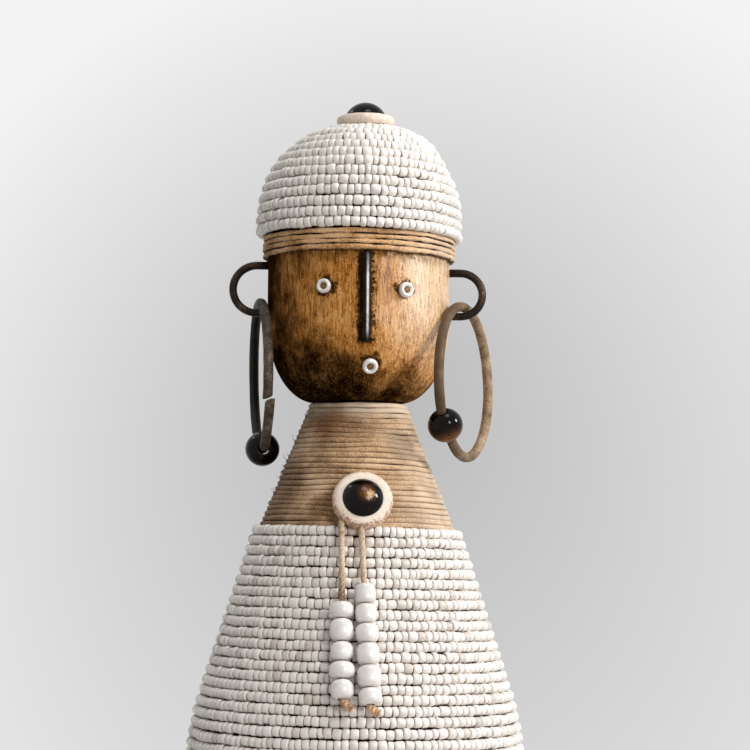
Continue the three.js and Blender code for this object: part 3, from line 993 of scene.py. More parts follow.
class Outline:
    """A line of radius and height points, walked by its length."""

    def __init__(self, points: Sequence[Place]) -> None:
        """Measures the line.

        Args:
            points: Radius and height of its corners.
        """
        self.points = [Vector(point) for point in points]
        self.marks = [0.0]
        for first, second in zip(self.points, self.points[1:]):
            self.marks.append(self.marks[-1] + (second - first).length)

    @property
    def length(self) -> float:
        """The whole length."""
        return self.marks[-1]

    def at(self, mark: float) -> tuple[Vector, Vector]:
        """A place on the line.

        Args:
            mark: Length from its start.

        Returns:
            The point, and the direction of the line there.
        """
        i = next((n for n, end in enumerate(self.marks[1:]) if mark <= end), len(self.points) - 2)
        along = (self.points[i + 1] - self.points[i]).normalized()
        return self.points[i] + along * (mark - self.marks[i]), along


@dataclass
class Carving:
    """The carved wooden figure, whose outline carries the windings."""

    foot_radius: float = 61.3 * MM
    foot_chamfer: float = 1.5 * MM
    side_height: float = 31.4 * MM
    rounding: float = 96.0 * MM
    flare: float = math.radians(17.8)
    skirt_height: float = 125.6 * MM
    neck_ledge: float = 0.2 * MM
    neck_top: float = 16.6 * MM
    chin: float = 173.0 * MM
    cheek_rise: float = 31.5 * MM
    head_radius: float = 35.3 * MM
    head_rows: int = 28
    cap_radius: float = 36.2 * MM
    cap_edge: float = 236.0 * MM
    dome: float = 243.4 * MM
    dome_rise: float = 37.3 * MM
    crown: float = 277.0 * MM
    crown_half: float = 12.4 * MM
    shoulder: float = math.radians(54.5)
    crown_aside: float = 2.0 * MM
    aside_from: float = 20.0 * MM
    aside_rise: float = 14.0 * MM
    steps: int = 200
    hollow: float = 0.55 * MM
    hollow_radius: float = 4.4 * MM

    @property
    def flank(self) -> list[Place]:
        """The skirt's side, from the foot up."""
        centre = (self.foot_radius - self.rounding, self.side_height)
        bend = arc(centre, (self.rounding, self.rounding), 0.0, self.flare, 12)
        reach, height = bend[-1]
        reach -= (self.skirt_height - height) * math.tan(self.flare)
        return [(self.foot_radius, self.foot_chamfer), *bend, (reach, self.skirt_height)]

    @property
    def neck(self) -> list[Place]:
        """The neck's side, from the skirt up."""
        return [(self.flank[-1][0] - self.neck_ledge, self.skirt_height), (self.neck_top, self.chin)]

    def twined(self, overlap: float) -> list[Place]:
        """The neck's side with a little of the skirt's below it."""
        low = (self.flank[-1][0] + overlap * math.tan(self.flare), self.skirt_height - overlap)
        return [low, *self.neck]

    @property
    def head(self) -> list[Place]:
        """The jaw and the straight side of the head, in short steps."""
        centre = (self.neck_top, self.chin + self.cheek_rise)
        jaw = arc(centre, (self.head_radius - self.neck_top, -self.cheek_rise), QUARTER, 0.0, 36)[1:]
        start = jaw[-1][1]
        rise = (self.cap_edge - start) / self.head_rows
        return [*jaw, *((self.head_radius, start + rise * i) for i in range(1, self.head_rows + 1))]

    @property
    def cap(self) -> list[Place]:
        """The crown under the cap, from its edge to the middle of the top."""
        dome = arc((0.0, self.dome), (self.cap_radius, self.dome_rise), 0.0, self.shoulder, 24)
        return [(self.cap_radius, self.cap_edge), *dome, (self.crown_half, self.crown), (0.0, self.crown)]

    def crown_shift(self, height: float) -> float:
        """How far the top of the head stands towards +X at a height."""
        share = min(1.0, max(0.0, (height - self.dome - self.aside_from) / self.aside_rise))
        return self.crown_aside * share * share * (3 - 2 * share)

    def build(self, finish: Finish, spots: Sequence[Vector]) -> None:
        """Turns the figure, roughens it by hand and sinks a small hollow under each eye and the mouth.

        Args:
            finish: The wood.
            spots: Middles of the eyes and the mouth.
        """
        foot = [(0.0, 0.0), (self.foot_radius - self.foot_chamfer, 0.0)]
        bm = lathe([*foot, *self.flank, *self.neck, *self.head, *self.cap], self.steps)
        for vert in bm.verts:
            if self.chin < vert.co.z < self.cap_edge:
                self.carve(vert, spots)
            vert.co.x += self.crown_shift(vert.co.z)
        bmesh.ops.recalc_face_normals(bm, faces=bm.faces[:])
        add_piece("carved_wood", bm, finish, ["carved_figure"])

    def carve(self, vert: bmesh.types.BMVert, spots: Sequence[Vector]) -> None:
        """Moves one point of the head in or out.

        Args:
            vert: The point.
            spots: Middles of the hollows.
        """
        x, y, z = vert.co
        chip = noise.noise(Vector((x * 60, y * 60, z * 35)))
        ripple = noise.noise(Vector((x * 330, y * 330, z * 40)))
        depth = 0.22 * MM * chip + 0.07 * MM * ripple
        for spot in spots:
            depth -= self.hollow * max(0.0, 1 - ((vert.co - spot).length / self.hollow_radius) ** 2)
        vert.co += Vector((x, y, 0.0)).normalized() * depth


@dataclass(frozen=True)
class SeedBead:
    """One kind of seed bead: a short barrel threaded along its axis.

    Attributes:
        spread: How much the lengths differ.
        dirt: How much dirt is in its rims.
        rim: Share of its half length where the rim starts.
        shade: Its usual tone.
        outline: Radius and height of its side, as shares.
    """

    width: float = 3.93 * MM
    length: float = 2.95 * MM
    spread: float = 0.5 * MM
    shortest: float = 1.7 * MM
    longest: float = 4.6 * MM
    dirt: float = 1.0
    rim: float = 0.86
    shade: float = 0.55
    sides: int = 11
    outline: tuple[Place, ...] = (
        (0.5, -1.0), (0.86, -0.92), (1.0, -0.58), (1.0, 0.58), (0.86, 0.92), (0.5, 1.0)
    )

    def template(self) -> bpy.types.Mesh:
        """Turns a bead of half length and radius 1 along X, and marks its rims.

        Returns:
            The bead.
        """
        bm = lathe(self.outline, self.sides)
        bmesh.ops.holes_fill(bm, edges=[edge for edge in bm.edges if edge.is_boundary])
        bmesh.ops.rotate(bm, verts=bm.verts[:], cent=ORIGIN, matrix=Matrix.Rotation(QUARTER, 3, "Y"))
        bm.verts.layers.float.new("tone")
        rim = bm.verts.layers.float.new("rim")
        for vert in bm.verts:
            vert[rim] = self.dirt * max(0.0, abs(vert.co.x) - self.rim) / (1 - self.rim)
        bmesh.ops.recalc_face_normals(bm, faces=bm.faces[:])
        return as_mesh("seed_bead", bm)


@dataclass
class BeadString:
    """A string of seed beads wound over an outline, from the back and climbing to the left in front.

    Attributes:
        outline: The line that it climbs.
        start: Where on that line turn 0 is.
        end: Where it ends.
        pitch: How far it climbs in a turn.
        first_turn: Turns wound before it.
    """

    name: str
    nodes: Sequence[str]
    carving: Carving
    outline: Outline
    start: float
    end: float
    pitch: float
    seed: int
    first_turn: float = 0.0
    bead: SeedBead = SeedBead()

    def build(self, finish: Finish) -> float:
        """Threads the beads one by one.

        Args:
            finish: Their glass.

        Returns:
            The turn at which the string ends.
        """
        draw = random.Random(self.seed)
        kind = self.bead
        template = kind.template()
        bm = bmesh.new()
        turn = self.first_turn
        while self.start + self.pitch * turn < self.end:
            length = min(kind.longest, max(kind.shortest, draw.gauss(kind.length, kind.spread)))
            reach = self.outline.at(self.start + self.pitch * turn)[0].x + kind.width / 2
            share = length / (FULL * reach)
            self.thread(bm, template, turn + share / 2, length, draw)
            turn += share
        bpy.data.meshes.remove(template)
        add_piece(self.name, bm, finish, self.nodes)
        return turn

    def thread(
        self, bm: BMesh, template: bpy.types.Mesh, turn: float, length: float, draw: random.Random
    ) -> None:
        """Adds one bead.

        Args:
            bm: The string's mesh.
            template: The shape of a bead.
            turn: Turns wound so far.
            length: The bead's length along the string.
            draw: The string's random numbers.
        """
        point, along = self.outline.at(self.start + self.pitch * turn)
        half = self.bead.width * min(1.1, max(0.88, draw.gauss(0.99, 0.045))) / 2
        lift = self.bead.width / 2 + draw.uniform(-0.15, 0.15) * MM
        slip = draw.gauss(0.0, 0.11) * MM + 0.24 * MM * wobble(self.seed, turn * 9.0)
        radius = point.x + along.y * lift + along.x * slip
        height = point.y - along.x * lift + along.y * slip
        angle = wound(turn)
        ahead = polar(1.0, angle - QUARTER, 0.0)
        out = polar(along.y, angle, -along.x)
        rock = Matrix.Rotation(draw.gauss(0.0, 0.08), 3, out)
        ahead, up = rock @ ahead, rock @ ahead.cross(out)
        place = polar(radius, angle, height) + Vector((self.carving.crown_shift(height), 0.0, 0.0))
        shape = template.copy()
        shape.transform(basis(ahead * (length * 0.505), out * half, up * half, place))
        shade = max(0.0, min(1.0, draw.gauss(self.bead.shade, 0.22)))
        shape.attributes["tone"].data.foreach_set("value", [shade] * len(shape.vertices))
        bm.from_mesh(shape)
        bpy.data.meshes.remove(shape)


@dataclass
class BeadWork:
    """The beaded skirt, in four strings, and the beaded cap."""

    carving: Carving
    pitch: float = 4.03 * MM
    skirt_start: float = 2.0 * MM
    skirt_inset: float = 1.6 * MM
    cap_start: float = 0.8 * MM
    cap_eye: float = 8.0 * MM
    # The cap's beads take a paler tone than the skirt's: painted light on the top of the doll.
    cap_bead: SeedBead = SeedBead(width=4.07 * MM, dirt=0.95, shade=0.9)

    def fitted(self, length: float) -> tuple[float, int]:
        """The pitch nearest to the usual one at which whole turns fill a length, and their number."""
        turns = round(length / self.pitch)
        return length / turns, turns

    def build(self, finish: Finish) -> None:
        """Winds all the strings.

        Args:
            finish: Their glass.
        """
        flank = Outline(self.carving.flank)
        start = self.skirt_start
        pitch, turns = self.fitted(flank.length - self.skirt_inset - start)
        turn = 0.0
        for number, nodes in enumerate((["lower_skirt_beads"], [], [], ["upper_skirt_beads"]), 1):
            name = f"skirt_bead_string_{number}"
            end = start + pitch * turns * number / 4
            turn = BeadString(name, nodes, self.carving, flank, start, end, pitch, 10 + number, turn).build(finish)
        cap = Outline(self.carving.cap)
        start, end = self.cap_start, cap.length - self.cap_eye
        pitch, _ = self.fitted(end - start)
        name, nodes = "cap_bead_string", ["cap_beads"]
        BeadString(name, nodes, self.carving, cap, start, end, pitch, 21, bead=self.cap_bead).build(finish)


@dataclass
class Bindings:
    """The twine round the neck and the flat cord round the brow."""

    carving: Carving
    twine: float = 2.16 * MM
    twine_turns: int = 24
    twine_steps: int = 80
    overlap: float = 2.6 * MM
    hairs: int = 150
    hair_half: float = 0.075 * MM
    band_start: float = 228.4 * MM
    band_rise: float = 2.1 * MM
    band_turns: int = 4
    band_half_height: float = 1.0 * MM
    band_half_depth: float = 0.92 * MM
    band_gap: float = 0.28 * MM
    band_steps: int = 120

    def build(self, twine: Finish, band: Finish) -> None:
        """Winds both bindings."""
        self.wind_neck(twine)
        self.wind_brow(band)

    def wind_neck(self, finish: Finish) -> None:
        """Winds the twine up the neck with small slips of the hand.

        Args:
            finish: The twine's fibre.
        """
        line = Outline(self.carving.twined(self.overlap))
        half = self.twine / 2
        count = self.twine_turns * self.twine_steps
        points, outs, stations = [], [], []
        for i in range(count + 1):
            turn = i / self.twine_steps
            point, along = line.at(half + (line.length - 2 * half) * i / count)
            angle = wound(turn)
            slip = 0.8 * MM * noise.noise(polar(1.4, angle, 0.2 * turn)) + 0.14 * MM * wobble(2.0, turn * 9.1)
            lift = half * 0.75 + 0.2 * MM * wobble(3.0, turn * 7.7)
            points.append(polar(point.x + along.y * lift, angle, point.y - along.x * lift + slip))
            outs.append(polar(along.y, angle, -along.x))
        for i, along in enumerate(headings(points)):
            thick = half * (1.0 + 0.16 * wobble(4.0, i * 0.21))
            stations.append(station(points[i], along, outs[i], thick * 0.82, thick * 1.06))
        bm = winding(stations, 8)
        draw = random.Random(41)
        for _ in range(self.hairs):
            i = draw.randrange(count)
            self.loosen(bm, points[i], outs[i], points[i + 1] - points[i], draw)
        add_piece("neck_winding", bm, finish, ["neck_twine"])

    def loosen(self, bm: BMesh, place: Vector, out: Vector, along: Vector, draw: random.Random) -> None:
        """Lets one hair stand off the twine.

        Args:
            bm: The winding's mesh.
            place: The middle of the twine there.
            out: The direction away from the neck.
            along: The direction of the twine.
            draw: Random numbers.
        """
        along = along.normalized() * draw.choice((-1, 1))
        rise = UP * draw.uniform(-0.7, 0.7)
        length, lift = draw.uniform(2.0, 5.5) * MM, draw.uniform(0.2, 1.0) * MM
        start = place + out * (self.twine * 0.42)
        route = []
        for share in (0.0, 0.2, 0.4, 0.6, 0.8, 1.0):
            bow = math.sin(share * math.pi * draw.uniform(0.5, 0.6))
            route.append(start + (along + rise * share).normalized() * (length * share) + out * (lift * bow))
        sweep(bm, wire(route, self.hair_half, out, 14.0), 4)

    def wind_brow(self, finish: Finish) -> None:
        """Winds the brow cord, whose turns press flat and cross each other a little.

        Args:
            finish: The cord's fibre.
        """
        points, stations = [], []
        for i in range(self.band_turns * self.band_steps + 1):
            turn = i / self.band_steps
            slip = 0.45 * MM * wobble(5.0, turn * 4.3) + 0.3 * MM * wobble(6.0, turn * 17.0)
            lift = self.band_half_depth + self.band_gap + 0.22 * MM * wobble(7.0, turn * 6.3)
            height = self.band_start + self.band_rise * turn + slip
            points.append(polar(self.carving.head_radius + lift, wound(turn), height))
        for i, along in enumerate(headings(points)):
            out = Vector((points[i].x, points[i].y, 0.0))
            tall = self.band_half_height * (1 + 0.2 * wobble(8.0, i * 0.12) + 0.45 * wobble(8.5, i * 0.31))
            thick = self.band_half_depth * (1 + 0.25 * wobble(9.0, i * 0.11))
            stations.append(station(points[i], along, out, thick, tall))
        add_piece("brow_cord", winding(stations, 12), finish, ["brow_band"])


@dataclass
class Face:
    """The iron nose and the bead eyes and mouth."""

    nose_half_width: float = 1.62 * MM
    nose_bend: float = 2.6 * MM
    nose_leg: float = 4.0 * MM
    bead_thickness: float = 2.7 * MM
    bead_fit: float = 0.97
    hole: float = 1.15 * MM
    steps: int = 40
    mouth_lean: float = math.radians(25.9)

    def build(self, iron: Finish, glass: Finish, peg: Finish) -> None:
        """Makes the nose and the three beads.

        Args:
            iron: The nose's finish.
            glass: The beads' finish.
            peg: The pegs' finish.
        """
        self.build_nose(iron)
        for name, lean in (("left_eye", 0.0), ("right_eye", 0.0), ("mouth", self.mouth_lean)):
            self.build_bead(name, lean, glass, peg)

    def build_nose(self, iron: Finish) -> None:
        """Bends the nose's rod into the wood at both ends.

        Args:
            iron: Its finish.
        """
        low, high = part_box("nose_pin")
        front = middle("nose_pin")
        turn = math.atan2(front.x, -front.y)
        half, bend = self.nose_half_width, self.nose_bend
        reach = math.hypot(front.x, low.y) - half
        out = polar(1.0, turn, 0.0)
        route = []
        for height, sign in ((high.z - half, 1), (low.z + half, -1)):
            corner = polar(reach - bend, turn, height - sign * bend)
            end = [corner + UP * (sign * bend) - out * self.nose_leg]
            end += [corner + out * x + UP * (sign * y) for x, y in arc((0.0, 0.0), (bend, bend), QUARTER, 0.0, 8)]
            route += end[::sign]
        bm = sweep(bmesh.new(), wire(route, half, polar(1.0, turn + QUARTER, 0.0), 10.0), 20)
        add_piece("nose_rod", bm, iron, ["nose_pin"])

    def build_bead(self, name: str, lean: float, glass: Finish, peg: Finish) -> None:
        """Makes one flat bead and its peg.

        Args:
            name: The eye or the mouth.
            lean: How far it faces down.
            glass: The bead's finish.
            peg: The peg's finish.
        """
        low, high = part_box(f"{name}_bead")
        place = (low + high) / 2
        turn = math.atan2(place.x, -place.y)
        out = polar(math.cos(lean), turn, -math.sin(lean))
        half, hole, stub = self.bead_thickness / 2, self.hole, self.hole * self.bead_fit
        wall = ((high.x - low.x) / 2 / math.cos(turn) * self.bead_fit - hole) / 2
        bm = lathe(arc((hole + wall, 0.0), (-wall, half), 0.0, FULL, 20), self.steps)
        mark_bore(bm, hole, 0.5 * MM)
        add_piece(f"{name}_glass", stand(bm, place, out), glass, [f"{name}_bead"])
        shares = (0.0, -4.0), (1.0, -4.0), (1.0, 0.3), (0.7, 0.5), (0.0, 0.5)
        bm = lathe([(stub * across, half * along) for across, along in shares], 24)
        add_piece(f"{name}_pin", stand(bm, place, out), peg, [f"{name}_peg"])


@dataclass
class Ear:
    """An iron loop in the side of the head, the hoop that hangs on it and the hoop's bead.

    Attributes:
        split: Where the hoop is open, from its lowest point towards the front.
        bead_at: Where its bead is, from there too.
        seed: What sets the hoop's unevenness.
        loop_wire: Half width of the loop's wire.
        hoop_wire: Half width of the hoop's wire.
        spring: How far the hoop's ends stand apart sideways.
        leg: How deep the loop's legs go into the head.
    """

    side: Side
    head_radius: float
    hoop_radius: float
    split: float
    bead_at: float
    seed: float
    loop_wire: float = 1.54 * MM
    hoop_wire: float = 1.9 * MM
    opening: float = 1.6 * MM
    spring: float = 0.5 * MM
    bead_width: float = 13.4 * MM
    bead_length: float = 12.4 * MM
    bore: float = 2.2 * MM
    leg: float = 4.0 * MM
    steps: int = 120

    def build(self, loop: Finish, hoop: Finish, horn: Finish) -> None:
        """Bends the loop and the hoop and turns the bead.

        Args:
            loop: The loop's finish.
            hoop: The hoop's finish.
            horn: The bead's finish.
        """
        self.build_loop(loop)
        slide = self.side.node("hoop_bead_slide")
        centre, axis = joint_place(slide), joint_axis(slide)
        self.build_hoop(hoop, centre, axis)
        self.build_hoop_bead(horn, centre, axis)

    def build_loop(self, finish: Finish) -> None:
        """Bends the ear loop: a leg, a half round and a leg.

        Args:
            finish: Its iron.
        """
        node = self.side.node("ear_loop")
        low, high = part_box(node)
        sign = 1.0 if high.x > 0 else -1.0
        radius = (high.z - low.z) / 2 - self.loop_wire
        bow = max(abs(low.x), abs(high.x)) - self.loop_wire - radius
        level = (low.z + high.z) / 2
        inside = self.head_radius - self.leg
        turned = arc((bow, level), (radius, radius), QUARTER, -QUARTER, 32)
        line = [(inside, level + radius), *turned, (inside, level - radius)]
        route = [Vector((sign * x, 0.0, z)) for x, z in line]
        bm = sweep(bmesh.new(), wire(route, self.loop_wire, Vector((0.0, 1.0, 0.0)), 11.0), 18)
        add_piece(self.side.node("ear_wire"), bm, finish, [node])

    def ring_point(self, centre: Vector, axis: Vector, angle: float) -> Vector:
        """A point of the hoop.

        Args:
            centre: The hoop's middle.
            axis: Its axis.
            angle: Where the point is, from the lowest towards the front.

        Returns:
            The point.
        """
        up = (UP - axis * axis.dot(UP)).normalized()
        front = axis.cross(up) if axis.cross(up).y < 0 else up.cross(axis)
        return centre + self.hoop_radius * (front * math.sin(angle) - up * math.cos(angle))

    def build_hoop(self, finish: Finish, centre: Vector, axis: Vector) -> None:
        """Bends the hoop, which is open at one place with its ends cut at a slant.

        Args:
            finish: Its iron.
            centre: Its middle.
            axis: Its axis.
        """
        gap = self.opening / self.hoop_radius / 2
        route = []
        for i in range(self.steps + 1):
            place = self.ring_point(centre, axis, self.split + gap + (FULL - 2 * gap) * i / self.steps)
            sprung = self.spring * (max(0.0, 1 - i / 20) ** 2 - max(0.0, 1 - (self.steps - i) / 20) ** 2)
            bent = axis * (0.25 * MM * wobble(13.0 + self.seed, i * 0.05))
            route.append(place + bent - Vector((sprung, 0.0, 0.0)))
        stations = wire(route, self.hoop_wire, axis, 12.0 + self.seed)
        slant = Matrix.Identity(4)
        slant[2][0] = math.copysign(0.42 * self.hoop_wire, axis.x)
        stations[0] @= slant
        stations[-1] @= slant
        node = self.side.node("hoop")
        add_piece(f"{node}_wire", sweep(bmesh.new(), stations, 18), finish, [node], node)

    def build_hoop_bead(self, finish: Finish, centre: Vector, axis: Vector) -> None:
        """Turns the dark bead and threads it on the hoop.

        Args:
            finish: Its horn.
            centre: The hoop's middle.
            axis: The hoop's axis.
        """
        half = self.bead_length / 2
        mouth = math.asin(2 * self.bore / self.bead_width)
        radii = (self.bead_width / 2, half / math.cos(mouth))
        side = arc((0.0, 0.0), radii, mouth - QUARTER, QUARTER - mouth, 24)
        start = (self.bore, -half * 0.9)
        before, place, after = (self.ring_point(centre, axis, self.bead_at + step) for step in (-0.1, 0.0, 0.1))
        bm = stand(lathe([start, *side, (self.bore, half * 0.9), start], 48), place, after - before)
        node = self.side.node("hoop_bead")
        add_piece(f"{node}_horn", bm, finish, [node], node)


@dataclass
class Ornament:
    """A bone ring with a domed horn button in it.

    Attributes:
        specks: How dark the bone's specks are.
        drop: How far it sits behind the CAD ring's middle.
        play: Room round the button's boss.
        seam: Height of the dome's edge over the ring.
        lip: Height of the edge itself.
    """

    name: str
    axis: Vector
    specks: float = 0.8
    drop: float = 0.0
    ring_half: float = 11.3 * MM
    hole: float = 5.2 * MM
    thickness: float = 5.5 * MM
    button_half: float = 7.6 * MM
    button_rise: float = 4.4 * MM
    play: float = 0.2 * MM
    seam: float = 0.1 * MM
    lip: float = 0.3 * MM
    steps: int = 72

    def build(self, horn: Finish) -> None:
        """Turns the ring and the button on the CAD ring's seat.

        Args:
            horn: The button's finish.
        """
        centre = middle(f"{self.name}_ring") - self.axis * self.drop
        bone = Bone(f"bone_{self.name}", tuple(centre), self.ring_half, self.specks)
        for outline, finish, slot, node in (
            (self.ring_outline, bone, Slot.BONE, "ring"),
            (self.button_outline, horn, Slot.HORN, "button"),
        ):
            bm = stand(lathe(outline, self.steps), centre, self.axis)
            add_piece(f"{self.name}_{slot.value}", bm, finish, [f"{self.name}_{node}"])

    @property
    def ring_outline(self) -> list[Place]:
        """The ring's section, which is a squarish oval."""
        wall = (self.ring_half - self.hole) / 2
        return arc((self.hole + wall, 0.0), (wall, self.thickness / 2), 0.0, FULL, 32, 0.75)

    @property
    def button_outline(self) -> list[Place]:
        """The button's side: a boss in the ring's hole under a dome."""
        half = self.thickness / 2
        ball = (self.button_half**2 + self.button_rise**2) / (2 * self.button_rise)
        base = half + self.seam
        boss, low, under = self.hole - self.play, -half * 0.6, base - self.lip
        edge = [(0.0, low), (boss, low), (boss, under), (self.button_half - self.play, under)]
        start = math.acos(self.button_half / ball)
        return edge + arc((0.0, base + self.button_rise - ball), (ball, ball), start, QUARTER, 16)


@dataclass(frozen=True)
class StrungBead:
    """A pendant bead: its width, its length and how square its side is."""

    width: float
    length: float
    square: float


@dataclass
class Pendant:
    """A hanging cord with its white beads and the frayed knot under them.

    Attributes:
        lean: How far the knot's end leans aside.
        rise: How far the beads sit above the CAD ones.
        shift: How far they sit towards +X of them.
        root: Length of the cord that stays with the ring; it shapes nothing here.
        bend: Half length over which it would bend there; it shapes nothing here.
        tuck: How far the cord starts behind the ring's edge.
        tucked: Length over which it comes out.
        flatness: The beads' depth as a share of their width.
        clearance: How far they stand off the CAD ones.
    """

    side: Side
    length: float
    beads: Sequence[StrungBead]
    lean: float
    rise: float
    shift: float
    cord: float = 2.4 * MM
    root: float = 4.0 * MM
    bend: float = 0.8 * MM
    bore: float = 1.55 * MM
    tuck: float = 2.4 * MM
    tucked: float = 6.0 * MM
    flatness: float = 0.92
    clearance: float = 0.15 * MM
    steps: int = 140
    fibres: int = 40

    def build(self, twine: Finish, glass: Finish, tied: Finish) -> None:
        """Hangs the cord, its beads and its knot.

        Args:
            twine: The cord's finish.
            glass: The beads' finish.
            tied: The knot's finish.
        """
        sway = self.side.node("pendant_sway")
        upward = joint_axis(self.side.node("beads_slide")).normalized()
        out = joint_axis(sway).normalized()
        top = joint_place(sway) + upward * (self.cord / 2)
        pieces = [self.build_bead(i, bead, upward, glass) for i, bead in enumerate(self.beads, 1)]
        pieces.append(self.build_knot(top - upward * self.length, upward, out, tied))
        self.build_cord(top, upward, out, twine)

    def build_cord(self, top: Vector, upward: Vector, out: Vector, twine: Finish) -> None:
        """Args:
            top: Where it leaves the ring.
            upward: The direction back up it.
            out: The direction away from the skirt.
            twine: Its finish.
        """
        path = []
        for i in range(self.steps + 1):
            along = self.length * i / self.steps
            tuck = self.tuck * max(0.0, 1 - along / self.tucked) ** 2
            path.append(top - upward * along - out * tuck)
        stations = [station(place, ahead, out, self.cord / 2) for place, ahead in zip(path, headings(path))]
        root, hanging = self.side.node("cord_root"), self.side.node("pendant")
        bm = sweep(bmesh.new(), stations, 16, Strands(0.12))
        piece = add_piece(self.side.node("hanging_cord"), bm, twine, [root, f"{hanging}_cord"], None)
        bend = top - upward * self.root
        reach = upward * self.bend
        tuple(bend + reach)
        tuple(bend - reach)
        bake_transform(piece)
        sum((second - first).length for first, second in zip(path, path[1:]))

    def build_bead(self, number: int, bead: StrungBead, upward: Vector, glass: Finish) -> Thing:
        """Turns one bead of the pendant.

        Args:
            number: Its place from the top.
            bead: Its sizes.
            upward: The direction of the cord.
            glass: Its finish.

        Returns:
            The bead.
        """
        node = self.side.node(f"pendant_bead_{number}")
        half = bead.length / 2
        side = arc((0.0, 0.0), (bead.width / 2, half), -QUARTER, QUARTER, 24, 2 / bead.square)
        start = (self.bore, -half * 0.7)
        outline = [start, *((max(self.bore, reach), rise) for reach, rise in side), (self.bore, half * 0.7), start]
        bm = lathe(outline, 40)
        mark_bore(bm, self.bore, 1.2 * MM)
        seed = number + 0.5 * len(self.beads)
        for vert in bm.verts:
            swell = 1 + 0.03 * noise.noise(Vector((*(vert.co * 190).xy, seed * 3.1 + vert.co.z * 120)))
            vert.co.x *= swell
            vert.co.y *= swell * self.flatness
        place = middle(node) + upward * self.rise + Vector((self.shift, -self.clearance, 0.0))
        body = self.side.node("pendant_beads")
        return add_piece(f"{node}_glass", stand(bm, place, upward), glass, [node], body)

    def build_knot(self, place: Vector, upward: Vector, out: Vector, tied: Finish) -> Thing:
        """Ties the knot: a wrapped stub of cord that bends aside and frays.

        Args:
            place: Where the cord runs into it.
            upward: The direction of the cord.
            out: The direction away from the skirt.
            tied: Its finish.

        Returns:
            The knot.
        """
        way = (upward.cross(out).normalized() * self.lean - upward).normalized()
        stub = []
        for i in range(13):
            share = i / 12
            stub.append(place - upward * (1.0 * MM * share) + way * (2.3 * MM * share**1.5))
        stations = []
        for i, along in enumerate(headings(stub)):
            stations.append(station(stub[i], along, out, (2.0 - 0.35 * abs(i - 6) / 6) * MM))
        bm = sweep(bmesh.new(), stations, 18, Strands(0.28))
        draw = random.Random(31 if self.side is Side.LEFT else 32)
        for _ in range(self.fibres):
            self.fray(bm, stub[-2], way, out, draw)
        node, body = self.side.node("knot"), self.side.node("pendant")
        return add_piece(self.side.node("frayed_knot"), bm, tied, [node], body)

    def fray(self, bm: BMesh, start: Vector, way: Vector, out: Vector, draw: random.Random) -> None:
        """Adds one loose fibre at the end of the knot.

        Args:
            bm: The knot's mesh.
            start: The end of the stub.
            way: The direction that the stub ends in.
            out: The direction away from the skirt.
            draw: Random numbers.
        """
        across = way.cross(out).normalized()
        angle, reach = draw.uniform(0, FULL), draw.uniform(0.1, 1.4) * MM
        spread = out * math.cos(angle) + across * math.sin(angle)
        length, flare = draw.uniform(0.9, 2.0) * MM, draw.uniform(-0.2, 0.6) * MM
        route = [start + spread * (reach + flare * (i / 4) ** 1.5) + way * (length * i / 4) for i in range(5)]
        sweep(bm, wire(route, draw.uniform(0.16, 0.3) * MM, out, 15.0), 5)


@dataclass(frozen=True)
class Lamp:
    """A soft round lamp.

    Attributes:
        name: The lamp's name.
        place: Where it hangs.
        target: Height of the point on the doll's axis that it faces.
        size: Its width.
        power: Its power in watts.
    """

    name: str
    place: Point
    target: float
    size: float
    power: float

    def hang(self) -> None:
        """Adds the lamp to the scene."""
        data = bpy.data.lights.new(self.name, "AREA")
        data.shape = "DISK"
        data.size = self.size
        data.energy = self.power
        lamp = put(self.name, data)
        lamp.location = self.place
        lamp.rotation_mode = "QUATERNION"
        lamp.rotation_quaternion = (Vector(self.place) - UP * self.target).to_track_quat("Z", "Y")


